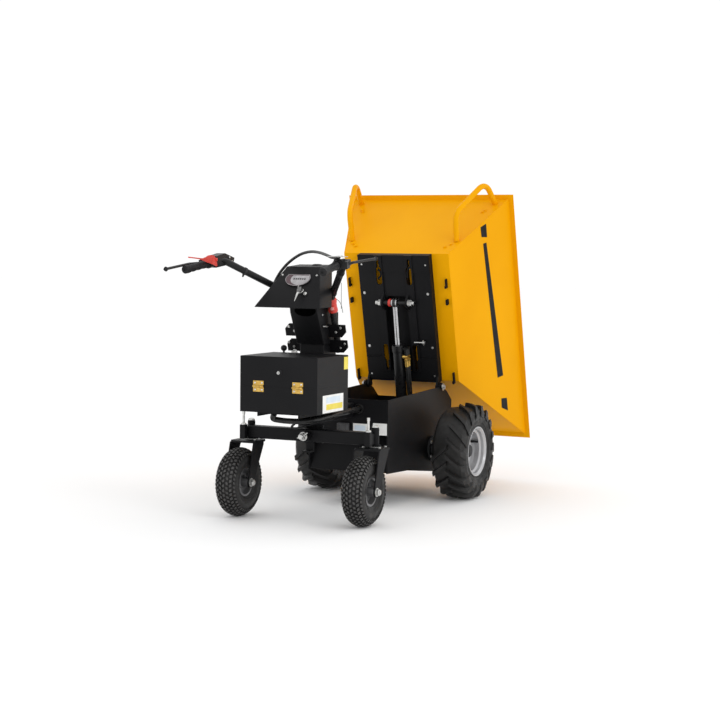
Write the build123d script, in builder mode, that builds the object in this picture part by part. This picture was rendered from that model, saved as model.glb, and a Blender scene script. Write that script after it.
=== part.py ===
from build123d import *
from math import cos, radians, sin, sqrt
import os

# Walk-behind electric site dumper, in millimetres.
# +X is forward (towards the drive wheels), +Y is left, +Z is up.  The origin lies on the ground
# under the middle of the machine.  The tray is tipped forward, as the machine stands.

# ---- Driving sizes ------------------------------------------------------------------------------

AXLE_X = 372                     # drive axle, forward of the middle
RUN = 0.3                        # running gap at pins and seats
CLEAR = 5.5                      # gap between pieces that move past each other

# Drive wheels
DRIVE_R = 200                    # to the tips of the lugs
DRIVE_WIDTH = 155                # over the ends of the lugs
TRACK = 632                      # between the middles of the two tyres
DRIVE_Y = TRACK / 2
DRIVE_BORE = 96                  # barrel of the rim
DRIVE_FLANGE = 103
LUG_COUNT = 18                   # on each half of a tyre
LUG_H = 17
LUG_INNER = 26                   # along the tread at the lug's foot, near the middle
LUG_OUTER = 32                   # the same at the shoulder
LUG_LAG = 20                     # degrees by which the outer end trails the inner

# Caster wheels
CASTER_R = 133.5
CASTER_WIDTH = 86
CASTER_TRACK = 534
CASTER_Y = CASTER_TRACK / 2
WHEELBASE = 863
CASTER_X = AXLE_X - WHEELBASE
CASTER_BORE = 50
CASTER_FLANGE = 54.5
TRAIL = 97                       # kingpin ahead of the caster's axle
KINGPIN_X = CASTER_X + TRAIL
KINGPIN_R = 10
FORK_TOP_Z = 290
LEG_GAP = CASTER_WIDTH / 2 + CLEAR
LEG_T = 5

# Chassis
CHASSIS_REAR = AXLE_X - 453
CHASSIS_FRONT = AXLE_X + 205
CHASSIS_Y = 176                  # outer face of the side plates
PLATE = 5
CHASSIS_TOP = 437
REAR_PLATE_LOW = 296
BELLY_REAR = 144
BELLY_FRONT = 104
HOUSING_END_Y = 240              # ends of the axle housing, at the drive wheels

# Hinge of the tray, on the chassis
HINGE_X = AXLE_X + 90
HINGE_Z = 454
HINGE_PIN_R = 9
HINGE_EAR_R = 18

# Tray, in its own directions: u along the floor from its front edge to the rear, v up from it
TIP_ANGLE = 76
HINGE_U = -15.5                  # hinge in the tray's directions
HINGE_V = -40
FLOOR_LENGTH = 556
FLOOR_HALF = 241.5
TRAY_DEPTH = 408
FRONT_FLARE = 370
REAR_FLARE = 144
SIDE_FLARE = 130
SHEET = 3
LIP = 20
SUBFRAME_HALF = 165
SUBFRAME_T = 32
SUBFRAME_FRONT = 0
ROD_PIN_U = 352.7                # pin of the rod's eye in the tray's directions
ROD_PIN_V = -49.2

# Tipping cylinder
BASE_PIN_X = AXLE_X + 109
BASE_PIN_Z = 220
BARREL_R = 24
BARREL_LENGTH = 417
ROD_R = 11.5
EYE_HALF = 12

# Neck frame, platform and swing beam behind the chassis
NECK_HALF = 28
NECK_REAR = AXLE_X - 832
NECK_TOP = 422
NECK_H = 60
PLATFORM_TOP = 427
PLATFORM_HALF = 90
BEAM_REAR = AXLE_X - 806
BEAM_DEPTH = 48
BEAM_BOTTOM = 298
BEAM_TOP = 346
HOUSING_R = 15
PIVOT_Z = 322

# Battery box
BOX_LENGTH = 260
BOX_FRONT = AXLE_X - 786
BOX_REAR = BOX_FRONT - BOX_LENGTH
BOX_HALF = 161
BOX_SEAM = 524
BOX_TOP = 635.5
BOX_SHEET = 2
BOX_BEND_R = 3                   # outside radius of the box's folded corners

# Column and console
COLUMN_REAR = AXLE_X - 780
COLUMN_FRONT = AXLE_X - 668
COLUMN_HALF = 52
COLUMN_H = 361
COLUMN_TOP = PLATFORM_TOP + COLUMN_H
CONSOLE_LENGTH = 287
CONSOLE_FRONT = AXLE_X - 700
CONSOLE_REAR = CONSOLE_FRONT - CONSOLE_LENGTH
CONSOLE_RIDGE = CONSOLE_REAR + 119
CONSOLE_LOW = COLUMN_TOP + 22
CONSOLE_HIGH = COLUMN_TOP + 185
CONSOLE_LOW_HALF = 141
CONSOLE_HIGH_HALF = 80

# Handlebars
BAR_R = 13
BAR_LEG_Y = 78
GRIP_R = 16
GRIP_LENGTH = 128
CONTROL_GAP = 26                 # from a grip's inner end to the middle of the control's clamp
GRIP_REACH = 1244                # end of the grips, behind the drive axle
GRIP_SPREAD = 560                # between the ends of the grips
BEND_REACH = 1020
BEND_SPREAD = 514

# ---- Directions and helpers ---------------------------------------------------------------------

SIDES = (("left", 1), ("right", -1))
U_DIR = Vector(-cos(radians(TIP_ANGLE)), 0, sin(radians(TIP_ANGLE)))
V_DIR = Vector(sin(radians(TIP_ANGLE)), 0, cos(radians(TIP_ANGLE)))
Y_DIR = Vector(0, 1, 0)
TRAY_ORIGIN = Vector(HINGE_X, 0, HINGE_Z) - U_DIR * HINGE_U - V_DIR * HINGE_V
TRAY_SIDE = Plane(origin=TRAY_ORIGIN, x_dir=U_DIR, z_dir=Y_DIR)

os.makedirs("parts", exist_ok=True)


def finish(piece, name):
    """Name a finished piece and write it to its own file."""
    piece.part.label = name
    export_step(piece.part, f"parts/{name}.step")


def side_plane(y):
    """Sketch plane at a distance to the left, drawn in X and Z."""
    return Plane.XZ.offset(-y)


def on_tray(u, v, y):
    """Point of the machine at a place of the tray."""
    return TRAY_ORIGIN + U_DIR * u + V_DIR * v + Y_DIR * y


def cross_bar(radius, x, z, y_low, y_high):
    """Round bar across the machine, added to the piece being made."""
    with BuildSketch(side_plane(y_low)) as disc:
        with Locations((x, z)):
            Circle(radius)
    extrude(disc.sketch, amount=y_low - y_high)


def wheel_plane(x, y, z, side):
    """Plane through a wheel's axis: first direction outboard, second up."""
    return Plane(origin=(x, y, z), x_dir=(0, side, 0), z_dir=(side, 0, 0))


# ---- Drive wheels -------------------------------------------------------------------------------

for name, side in SIDES:
    plane = wheel_plane(AXLE_X, side * DRIVE_Y, DRIVE_R, side)
    spin = Axis(plane.origin, (0, 1, 0))
    half = DRIVE_WIDTH / 2
    bead = half - 18
    tread_r = DRIVE_R - LUG_H
    lug_foot_r = DRIVE_R - 60
    half_run = DRIVE_R * radians(LUG_LAG) / 2

    with BuildPart() as tyre:
        for index in range(2 * LUG_COUNT):
            hand = side if index % 2 else -side
            turn = radians(index * 180 / LUG_COUNT)
            away = Vector(cos(turn), 0, sin(turn))
            with BuildSketch(Plane(plane.origin + away * lug_foot_r, x_dir=Y_DIR, z_dir=away)):
                Polygon(
                    (-8 * hand, -half_run - LUG_INNER / 2),
                    (-8 * hand, -half_run + LUG_INNER / 2),
                    ((half + 2) * hand, half_run + LUG_OUTER / 2),
                    ((half + 2) * hand, half_run - LUG_OUTER / 2),
                    align=None,
                )
            extrude(amount=66, taper=5)
        with BuildSketch(plane):
            with BuildLine():
                base = Line((-half, lug_foot_r - 10), (half, lug_foot_r - 10))
                right = Polyline(base @ 1, (half, DRIVE_R - 42), (half - 12, DRIVE_R - 9))
                crown = ThreePointArc(right @ 1, (0, DRIVE_R), (12 - half, DRIVE_R - 9))
                Polyline(crown @ 1, (-half, DRIVE_R - 42), base @ 0)
            make_face()
        revolve(axis=spin, mode=Mode.INTERSECT)
        with BuildSketch(plane):
            with BuildLine():
                base = Line((-bead, DRIVE_BORE + RUN), (bead, DRIVE_BORE + RUN))
                right = Polyline(base @ 1, (bead, DRIVE_FLANGE + 2), (half - 7, DRIVE_R - 74),
                                 (half - 3, DRIVE_R - 54), (half - 8, DRIVE_R - 33),
                                 (half - 20, tread_r - 5))
                crown = ThreePointArc(right @ 1, (0, tread_r), (20 - half, tread_r - 5))
                Polyline(crown @ 1, (8 - half, DRIVE_R - 33), (3 - half, DRIVE_R - 54),
                         (7 - half, DRIVE_R - 74), (-bead, DRIVE_FLANGE + 2), base @ 0)
            make_face()
        revolve(axis=spin)
    finish(tyre, f"drive_tyre_{name}")

    with BuildPart() as rim:
        with BuildSketch(plane):
            with BuildLine():
                Polyline(
                    (-bead - 5, DRIVE_FLANGE),
                    (-bead - RUN, DRIVE_FLANGE),
                    (-bead - RUN, DRIVE_BORE),
                    (bead + RUN, DRIVE_BORE),
                    (bead + RUN, DRIVE_FLANGE),
                    (bead + 5, DRIVE_FLANGE),
                    (bead + 5, DRIVE_FLANGE - 4),
                    (bead - 3, DRIVE_BORE - 4),
                    (bead - 14, DRIVE_BORE - 6),
                    (bead - 20, DRIVE_BORE - 14),
                    (bead - 40, DRIVE_BORE - 16),
                    (8, DRIVE_BORE - 20),
                    (-4, 56),
                    (-4, 34),
                    (18, 30),
                    (22, 24),
                    (22, 0),
                    (RUN + HOUSING_END_Y - DRIVE_Y, 0),
                    (RUN + HOUSING_END_Y - DRIVE_Y, 34),
                    (-10, 34),
                    (-10, 58),
                    (0, DRIVE_BORE - 14),
                    (-bead - 5, DRIVE_BORE - 5),
                    close=True,
                )
            make_face()
        revolve(axis=spin)
    finish(rim, f"drive_rim_{name}")

# ---- Caster wheels and forks --------------------------------------------------------------------

for name, side in SIDES:
    plane = wheel_plane(CASTER_X, side * CASTER_Y, CASTER_R, side)
    spin = Axis(plane.origin, (0, 1, 0))
    half = CASTER_WIDTH / 2
    bead = half - 16

    with BuildPart() as tyre:
        with BuildSketch(plane):
            with BuildLine():
                base = Line((-bead, CASTER_BORE + RUN), (bead, CASTER_BORE + RUN))
                bead_out = Line(base @ 1, (bead, CASTER_FLANGE + 2))
                right = ThreePointArc(bead_out @ 1, (half, CASTER_R - 43), (half - 7, CASTER_R - 11))
                crown = ThreePointArc(right @ 1, (0, CASTER_R), (7 - half, CASTER_R - 11))
                left = ThreePointArc(crown @ 1, (-half, CASTER_R - 43),
                                     (-bead, CASTER_FLANGE + 2))
                Line(left @ 1, base @ 0)
            make_face()
        revolve(axis=spin)
    finish(tyre, f"caster_tyre_{name}")

    with BuildPart() as rim:
        with BuildSketch(plane):
            with BuildLine():
                Polyline(
                    (-bead - 4, CASTER_FLANGE),
                    (-bead - RUN, CASTER_FLANGE),
                    (-bead - RUN, CASTER_BORE),
                    (bead + RUN, CASTER_BORE),
                    (bead + RUN, CASTER_FLANGE),
                    (bead + 4, CASTER_FLANGE),
                    (bead + 4, CASTER_BORE - 3),
                    (10, CASTER_BORE - 5),
                    (10, 20),
                    (LEG_GAP - 1, 16),
                    (LEG_GAP - 1, 8 + RUN),
                    (1 - LEG_GAP, 8 + RUN),
                    (1 - LEG_GAP, 16),
                    (-10, 20),
                    (-10, CASTER_BORE - 5),
                    (-bead - 4, CASTER_BORE - 3),
                    close=True,
                )
            make_face()
        revolve(axis=spin)
    finish(rim, f"caster_rim_{name}")

    wheel_y = side * CASTER_Y
    with BuildPart() as fork:
        with BuildSketch(Plane.XY.offset(FORK_TOP_Z - 8)):
            with Locations((KINGPIN_X - 26, wheel_y)):
                RectangleRounded(100, 2 * (LEG_GAP + LEG_T), 12)
        extrude(amount=8)
        for leg_y in (wheel_y - LEG_GAP - LEG_T / 2, wheel_y + LEG_GAP + LEG_T / 2):
            with BuildSketch(side_plane(leg_y)):
                with Locations((CASTER_X, CASTER_R)):
                    Circle(20)
                with Locations((KINGPIN_X - 36, FORK_TOP_Z - 12)):
                    Rectangle(78, 12)
                make_hull()
            extrude(amount=LEG_T / 2, both=True)
        cross_bar(8, CASTER_X, CASTER_R, wheel_y - LEG_GAP - 16, wheel_y + LEG_GAP + 16)
        with BuildSketch(Plane.XY.offset(FORK_TOP_Z)):
            with Locations((KINGPIN_X, wheel_y)):
                Circle(22)
        extrude(amount=BEAM_BOTTOM - RUN - FORK_TOP_Z)
        with BuildSketch(Plane.XY.offset(FORK_TOP_Z)):
            with Locations((KINGPIN_X, wheel_y)):
                Circle(KINGPIN_R)
        extrude(amount=62)
    finish(fork, f"caster_fork_{name}")

# ---- Swing beam with its kingpin housings -------------------------------------------------------

beam_middle = BEAM_REAR + BEAM_DEPTH / 2
with BuildPart() as beam:
    with BuildSketch(side_plane(0)):
        with Locations((beam_middle, (BEAM_BOTTOM + BEAM_TOP) / 2)):
            RectangleRounded(BEAM_DEPTH, BEAM_TOP - BEAM_BOTTOM, 5)
    extrude(amount=CASTER_Y - HOUSING_R / 2, both=True)
    for _, side in SIDES:
        with BuildSketch(Plane.XY.offset(BEAM_BOTTOM)):
            with Locations((KINGPIN_X, side * CASTER_Y)):
                Circle(HOUSING_R)
        extrude(amount=68)
        with Locations((KINGPIN_X - 31, side * CASTER_Y, (BEAM_BOTTOM + BEAM_TOP) / 2)):
            Box(40, 8, 40)
        with Locations((KINGPIN_X - 62, side * CASTER_Y, BEAM_BOTTOM + 27)):
            Box(22, 22, 54)
    caps = beam.faces().filter_by(Axis.Z).group_by(Axis.Z)[-1]
    fillet(caps.edges().filter_by(GeomType.CIRCLE), 8)
    with Locations((beam_middle, 0, BEAM_BOTTOM - 17)):
        Box(6, 32, 34)
    with Locations((beam_middle - 17, 0, BEAM_BOTTOM - 37)):
        Box(40, 32, 6)
    for _, side in SIDES:
        with BuildSketch(Plane.XY.offset(BEAM_BOTTOM)):
            with Locations((KINGPIN_X, side * CASTER_Y)):
                Circle(KINGPIN_R + RUN)
        extrude(amount=56, mode=Mode.SUBTRACT)
    with BuildSketch(Plane.YZ.offset(BEAM_REAR - 1)):
        with Locations((0, PIVOT_Z)):
            Circle(KINGPIN_R + RUN)
    extrude(amount=BEAM_DEPTH + 2, mode=Mode.SUBTRACT)
finish(beam, "swing_beam")

with BuildPart() as pivot:
    with BuildSketch(Plane.YZ.offset(BEAM_REAR + BEAM_DEPTH + 2)):
        with Locations((0, (NECK_TOP - NECK_H + PIVOT_Z - 34) / 2)):
            RectangleRounded(80, NECK_TOP - NECK_H - PIVOT_Z + 34, 6)
    extrude(amount=10)
    with BuildSketch(Plane.YZ.offset(BEAM_REAR - 20)):
        with Locations((0, PIVOT_Z)):
            Circle(KINGPIN_R)
    extrude(amount=BEAM_DEPTH + 30)
    with BuildSketch(Plane.YZ.offset(BEAM_REAR - 14)):
        with Locations((0, PIVOT_Z)):
            RegularPolygon(20, 6)
    extrude(amount=14)
finish(pivot, "beam_pivot")

with BuildPart() as lock_pins:
    for _, side in SIDES:
        with Locations((KINGPIN_X - 62, side * CASTER_Y, BEAM_BOTTOM + 54 + 27)):
            Cylinder(4.5, 54)
        with Locations((KINGPIN_X - 62, side * CASTER_Y, BEAM_BOTTOM + 54 + 48)):
            Cylinder(6, 12)
finish(lock_pins, "lock_pins")

# ---- Neck, platform and chassis -----------------------------------------------------------------

with BuildPart() as neck:
    with BuildSketch(Plane.YZ.offset(NECK_REAR)):
        with Locations((0, NECK_TOP - NECK_H / 2)):
            RectangleRounded(2 * NECK_HALF, NECK_H, 6)
            Rectangle(2 * NECK_HALF - 8, NECK_H - 8, mode=Mode.SUBTRACT)
    extrude(amount=CHASSIS_REAR - NECK_REAR)
finish(neck, "neck_frame")

platform_length = COLUMN_FRONT + 20 - BOX_REAR - 6
with BuildPart() as platform:
    with Locations((BOX_REAR + 6 + platform_length / 2, 0, PLATFORM_TOP - PLATE / 2)):
        Box(platform_length, 2 * PLATFORM_HALF, PLATE)
    for _, side in SIDES:
        lip_y = side * (PLATFORM_HALF - PLATE / 2)
        with Locations((BOX_REAR + 6 + platform_length / 2, lip_y, PLATFORM_TOP - PLATE - 5)):
            Box(platform_length, PLATE, 10)
finish(platform, "platform")

AXLE_HOLE_R = 34
for name, side in SIDES:
    with BuildPart() as plate:
        with BuildSketch(side_plane(side * (CHASSIS_Y - PLATE / 2))):
            with BuildLine():
                Polyline(
                    (CHASSIS_REAR, BELLY_REAR),
                    (AXLE_X - 259, BELLY_REAR - 8),
                    (AXLE_X - 5, BELLY_FRONT),
                    (CHASSIS_FRONT, BELLY_FRONT),
                    (CHASSIS_FRONT, 392),
                    (AXLE_X + 150, 433),
                    (HINGE_X + HINGE_EAR_R, HINGE_Z - 4),
                    (HINGE_X - HINGE_EAR_R, HINGE_Z),
                    (AXLE_X - 137, 447),
                    (CHASSIS_REAR, CHASSIS_TOP),
                    close=True,
                )
            make_face()
            with Locations((HINGE_X, HINGE_Z)):
                Circle(HINGE_EAR_R)
            with Locations((AXLE_X, DRIVE_R)):
                Circle(AXLE_HOLE_R, mode=Mode.SUBTRACT)
        extrude(amount=PLATE / 2, both=True)
        low = min(side * (CHASSIS_Y - 5 * PLATE), side * (CHASSIS_Y + 8))
        cross_bar(HINGE_PIN_R, HINGE_X, HINGE_Z, low, low + 5 * PLATE + 8)
    finish(plate, f"chassis_side_{name}")

inner = CHASSIS_Y - PLATE
with BuildPart() as pan:
    with BuildSketch(side_plane(0)):
        with BuildLine():
            fold = Polyline(
                (CHASSIS_REAR + 65, REAR_PLATE_LOW - 6),
                (CHASSIS_REAR + 5, BELLY_REAR + 4),
                (AXLE_X - 259, BELLY_REAR - 4),
                (AXLE_X - 5, BELLY_FRONT + 4),
                (CHASSIS_FRONT - 4, BELLY_FRONT + 4),
                (CHASSIS_FRONT - 4, 392),
            )
            offset(fold, 2, side=Side.BOTH)
        make_face()
    extrude(amount=inner, both=True)
finish(pan, "chassis_pan")

HOSE_Y = -48
HOSE_HOLE_Z = 398
with BuildPart() as rear_plate:
    with BuildSketch(Plane.YZ.offset(CHASSIS_REAR)):
        with Locations((0, (CHASSIS_TOP + REAR_PLATE_LOW) / 2)):
            Rectangle(2 * inner, CHASSIS_TOP - REAR_PLATE_LOW)
        with Locations((HOSE_Y, HOSE_HOLE_Z)):
            Circle(16, mode=Mode.SUBTRACT)
    extrude(amount=4)
    with Locations((CHASSIS_REAR + 34, 0, REAR_PLATE_LOW + 2)):
        Box(68, 2 * inner, 4)
finish(rear_plate, "chassis_rear_plate")

# ---- Drive axle, motor, hydraulic unit and cylinder mount ---------------------------------------

AXLE_TUBE_R = 30
with BuildPart() as axle:
    cross_bar(AXLE_TUBE_R, AXLE_X, DRIVE_R, -HOUSING_END_Y, HOUSING_END_Y)
    for low in (CHASSIS_Y, -CHASSIS_Y - 8):
        cross_bar(52, AXLE_X, DRIVE_R, low, low + 8)
    with Locations((AXLE_X, 102, DRIVE_R)):
        Box(130, 84, 120)
    fillet(axle.edges().filter_by(Axis.Y).filter_by(GeomType.LINE), 14)
finish(axle, "drive_axle")

with BuildPart() as motor:
    with BuildSketch(Plane.YZ.offset(AXLE_X - 65)):
        with Locations((102, DRIVE_R)):
            Circle(52)
    extrude(amount=-150)
finish(motor, "drive_motor")

with BuildPart() as power_unit:
    with Locations((AXLE_X - 270, 45 - inner, 202)):
        Box(190, 90, 100)
    fillet(power_unit.edges().filter_by(Axis.X), 10)
finish(power_unit, "hydraulic_unit")

with BuildPart() as mount:
    for ear_y in (-EYE_HALF - 2 - 4, EYE_HALF + 2 + 4):
        with BuildSketch(side_plane(ear_y)):
            with Locations((BASE_PIN_X, BASE_PIN_Z)):
                Circle(20)
            with Locations((BASE_PIN_X, BELLY_FRONT + 6 + 4)):
                Rectangle(100, 8)
            make_hull()
        extrude(amount=4, both=True)
    with Locations((BASE_PIN_X, 0, BELLY_FRONT + 6 + 3)):
        Box(120, 70, 6)
    cross_bar(10 - RUN, BASE_PIN_X, BASE_PIN_Z, -EYE_HALF - 4, EYE_HALF + 4)
finish(mount, "cylinder_mount")

# ---- Battery box --------------------------------------------------------------------------------

box_length = BOX_FRONT - BOX_REAR
box_middle = (BOX_FRONT + BOX_REAR) / 2
with BuildPart() as box:
    with Locations((box_middle, 0, PLATFORM_TOP)):
        Box(box_length, 2 * BOX_HALF, BOX_SEAM - PLATFORM_TOP - RUN,
            align=(Align.CENTER, Align.CENTER, Align.MIN))
    fillet(box.edges().filter_by(Axis.Z), BOX_BEND_R)
    offset(amount=-BOX_SHEET, openings=box.faces().sort_by(Axis.Z)[-1])
finish(box, "battery_box")

with BuildPart() as lid:
    with Locations((box_middle, 0, BOX_SEAM)):
        Box(box_length, 2 * BOX_HALF, BOX_TOP - BOX_SEAM,
            align=(Align.CENTER, Align.CENTER, Align.MIN))
    fillet(lid.edges().filter_by(Axis.Z), BOX_BEND_R)
    fillet(lid.faces().sort_by(Axis.Z)[-1].edges(), BOX_BEND_R)
    offset(amount=-BOX_SHEET, openings=lid.faces().sort_by(Axis.Z)[0])
finish(lid, "battery_lid")

BATTERY_H = 126
battery_length = box_length - 28
battery_width = BOX_HALF - 13
standing = (Align.CENTER, Align.CENTER, Align.MIN)
with BuildPart() as batteries:
    for _, side in SIDES:
        with Locations((box_middle - 3, side * (battery_width / 2 + 1), PLATFORM_TOP + BOX_SHEET)):
            Box(battery_length, battery_width, BATTERY_H, align=standing)
    fillet(batteries.edges().filter_by(Axis.Z), 4)
    battery_top = PLATFORM_TOP + BOX_SHEET + BATTERY_H
    for _, side in SIDES:
        for end in (-1, 1):
            with Locations((box_middle - 3 + end * 80, side * 70, battery_top)):
                Cylinder(8, 14, align=standing)
    with Locations((box_middle - 3, 0, battery_top)):
        Box(30, 2 * battery_width - 20, 4, align=standing)
finish(batteries, "battery_block")

LEAF_WIDTH = 44
LEAF_HEIGHT = 16
KNUCKLE_R = 3.5
HINGE_LINE_X = BOX_REAR - KNUCKLE_R - RUN
LEAF_YS = (-82, 82)
for name, low_z, knuckles in (
    ("box_hinge_leaves", BOX_SEAM - KNUCKLE_R - 1 - LEAF_HEIGHT, (-15, 15)),
    ("lid_hinge_leaves", BOX_SEAM + KNUCKLE_R + 1, (0,)),
):
    with BuildPart() as leaves:
        for leaf_y in LEAF_YS:
            with Locations((BOX_REAR - 0.75, leaf_y, low_z + LEAF_HEIGHT / 2)):
                Box(1.5, LEAF_WIDTH, LEAF_HEIGHT)
            for knuckle in knuckles:
                middle = leaf_y + knuckle
                cross_bar(KNUCKLE_R, HINGE_LINE_X, BOX_SEAM, middle - 7, middle + 7)
                with Locations((BOX_REAR - 0.75, middle, BOX_SEAM + (low_z - BOX_SEAM + 8) / 2)):
                    Box(1.5, 14, abs(low_z - BOX_SEAM + 8))
    finish(leaves, name)

with BuildPart() as lock:
    with BuildSketch(Plane.YZ.offset(BOX_REAR)):
        with Locations((-5, BOX_SEAM + 53)):
            Circle(6)
    extrude(amount=-9)
finish(lock, "lid_lock")

with BuildPart() as latch:
    with BuildSketch(side_plane(71)):
        Polygon((BOX_FRONT, BOX_TOP - 30), (BOX_FRONT + 3, BOX_TOP - 30),
                (BOX_FRONT + 6, BOX_TOP - 18), (BOX_FRONT + 6, BOX_TOP - 1),
                (BOX_FRONT + 2, BOX_TOP + 6), (BOX_FRONT, BOX_TOP + 6), align=None)
    extrude(amount=12, both=True)
finish(latch, "lid_latch")

with BuildPart() as valve:
    with Locations((BOX_FRONT + 12, 122, PLATFORM_TOP + 24)):
        Box(24, 40, 48)
    with Locations((BOX_FRONT + 12, 122, PLATFORM_TOP + 125)):
        Cylinder(4, 180)
    with Locations((BOX_FRONT + 12, 122, PLATFORM_TOP + 224)):
        Sphere(12)
finish(valve, "valve_lever")

# ---- Routes of the cable and the hoses, behind the axle ----

CABLE_R = 5.5
CABLE_ROUTE = (
    (-790, 96, 838), (-795, 138, 850), (-802, 158, 888), (-812, 126, 936), (-828, 88, 970),
    (-846, 46, 996), (-868, 0, 1015), (-902, -56, 1024), (-946, -114, 1021), (-1000, -171, 1012),
    (-1052, -220, 1002), (-1078, -262, 1004),
)
HOSE_R = 11
HOSE_ROUTE = (
    (-425, -48, 398), (-560, -50, 396), (-690, -52, 392), (-800, -52, 388), (-868, -38, 384),
    (-894, 8, 383), (-900, 56, 384), (-912, 90, 389), (-930, 84, 399), (-937, 74, 412),
)


def along_route(places):
    """Points of a route given behind the axle."""
    return [Vector(AXLE_X + x, y, z) for x, y, z in places]


def corner_radii(points):
    """Largest arcs that fit the runs of a route, one for each corner."""
    radii = []
    for before, here, after in zip(points, points[1:], points[2:]):
        run_in = here - before
        run_out = after - here
        half_turn = radians(run_in.get_angle(run_out) / 2)
        shorter = min(run_in.length, run_out.length)
        radii.append(0.45 * shorter * cos(half_turn) / sin(half_turn))
    return radii


# ---- Column and handlebars ----------------------------------------------------------------------

column_middle = (COLUMN_REAR + COLUMN_FRONT) / 2
with BuildPart() as column:
    with BuildSketch(Plane.XY.offset(PLATFORM_TOP)):
        with Locations((column_middle, 0)):
            RectangleRounded(COLUMN_FRONT - COLUMN_REAR, 2 * COLUMN_HALF, 8)
    extrude(amount=COLUMN_TOP - PLATFORM_TOP)
    offset(amount=-SHEET, openings=column.faces().sort_by(Axis.Z)[-1])
    with BuildSketch(Plane.YZ.offset(COLUMN_REAR - 1)):
        with Locations((-8, COLUMN_TOP)):
            Ellipse(40, 46)
    extrude(amount=SHEET + 2, mode=Mode.SUBTRACT)
finish(column, "column")

LEG_LOW = Vector(COLUMN_FRONT - 36, 0, COLUMN_TOP - 148)
LEG_HIGH = Vector(COLUMN_FRONT - 102, 0, COLUMN_TOP + 62)
BAR_BEND = Vector(AXLE_X - BEND_REACH, BEND_SPREAD / 2, COLUMN_TOP + 202)
BAR_END = Vector(AXLE_X - GRIP_REACH, GRIP_SPREAD / 2, COLUMN_TOP + 164)
LEG_PLANE = Plane(origin=LEG_LOW, x_dir=Y_DIR, z_dir=Y_DIR.cross((LEG_HIGH - LEG_LOW).normalized()))


def mirrored(point, side):
    """Point of the left half moved to the asked side."""
    return Vector(point.X, point.Y * side, point.Z)


def bar_route(side):
    """Corner points of one handlebar tube, from its foot to its grip."""
    foot = LEG_LOW + Y_DIR * (BAR_LEG_Y + 2)
    shoulder = LEG_HIGH + Y_DIR * BAR_LEG_Y
    return [mirrored(point, side) for point in (foot, shoulder, BAR_BEND, BAR_END)]


def sweep_round(points, radii, radius, mode=Mode.ADD):
    """Round bar along straight runs joined by arcs."""
    with BuildLine() as route:
        FilletPolyline(*points, radius=radii)
    with BuildSketch(Plane(origin=route.line @ 0, z_dir=route.line % 0)) as section:
        Circle(radius)
    sweep(section.sketch, path=route.line, mode=mode)


for name, side in SIDES:
    with BuildPart() as bar:
        sweep_round(bar_route(side), [50, 60], BAR_R)
    finish(bar, f"handlebar_{name}")

    tip = mirrored(BAR_END, side)
    along = (tip - mirrored(BAR_BEND, side)).normalized()
    with BuildPart() as grip:
        with BuildSketch(Plane(origin=tip + along * 5, z_dir=-along)):
            Circle(GRIP_R)
        extrude(amount=GRIP_LENGTH)
        with BuildSketch(Plane(origin=tip, z_dir=-along)):
            Circle(BAR_R)
        extrude(amount=GRIP_LENGTH, mode=Mode.SUBTRACT)
    finish(grip, f"grip_{name}")

TAB_REACH = 130
TAB_H = 50
TAB_CHAMFER = 20
TAB_STARTS = (4, 66)
with BuildPart() as tabs:
    for start in TAB_STARTS:
        for _, side in SIDES:
            root = side * (COLUMN_HALF + RUN)
            reach = side * TAB_REACH
            cut = side * (TAB_REACH - TAB_CHAMFER)
            top = start + TAB_H
            outer = (
                [(cut, top), (reach, top - TAB_CHAMFER), (reach, start)] if side > 0
                else [(reach, top), (reach, start + TAB_CHAMFER), (cut, start)]
            )
            corners = [(root, top), *outer, (root, start)]
            with BuildSketch(LEG_PLANE.offset(-BAR_R - 3)):
                Polygon(*corners, align=None)
            extrude(amount=2.5, both=True)
finish(tabs, "column_tabs")

# ---- Console ------------------------------------------------------------------------------------

with BuildPart() as console:
    with BuildSketch(side_plane(0)):
        Polygon(
            (CONSOLE_REAR, CONSOLE_LOW),
            (CONSOLE_FRONT - 110, COLUMN_TOP),
            (CONSOLE_FRONT, COLUMN_TOP),
            (CONSOLE_FRONT, CONSOLE_HIGH - 12),
            (CONSOLE_RIDGE, CONSOLE_HIGH),
            align=None,
        )
    extrude(amount=CONSOLE_LOW_HALF, both=True)
    with BuildSketch(Plane.YZ.offset(CONSOLE_REAR)):
        Polygon(
            (-CONSOLE_LOW_HALF, COLUMN_TOP),
            (CONSOLE_LOW_HALF, COLUMN_TOP),
            (CONSOLE_LOW_HALF, CONSOLE_LOW),
            (CONSOLE_HIGH_HALF, CONSOLE_HIGH),
            (-CONSOLE_HIGH_HALF, CONSOLE_HIGH),
            (-CONSOLE_LOW_HALF, CONSOLE_LOW),
            align=None,
        )
    extrude(amount=CONSOLE_FRONT - CONSOLE_REAR, mode=Mode.INTERSECT)
    offset(amount=-2, openings=console.faces().sort_by(Axis.X)[-1])
    for _, side in SIDES:
        sweep_round(bar_route(side), [50, 60], BAR_R + RUN, mode=Mode.SUBTRACT)
    cable_points = along_route(CABLE_ROUTE)
    sweep_round(cable_points, corner_radii(cable_points), CABLE_R + RUN, mode=Mode.SUBTRACT)
finish(console, "console")

PANEL_UP = Vector(CONSOLE_RIDGE - CONSOLE_REAR, 0, CONSOLE_HIGH - CONSOLE_LOW).normalized()
PANEL = Plane(
    origin=(CONSOLE_REAR, 0, CONSOLE_LOW),
    x_dir=-Y_DIR,
    z_dir=(-Y_DIR).cross(PANEL_UP),
)
with BuildPart() as gauge:
    with BuildSketch(PANEL):
        with Locations((0, 138)):
            Ellipse(46, 28)
    extrude(amount=5)
finish(gauge, "gauge")

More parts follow.
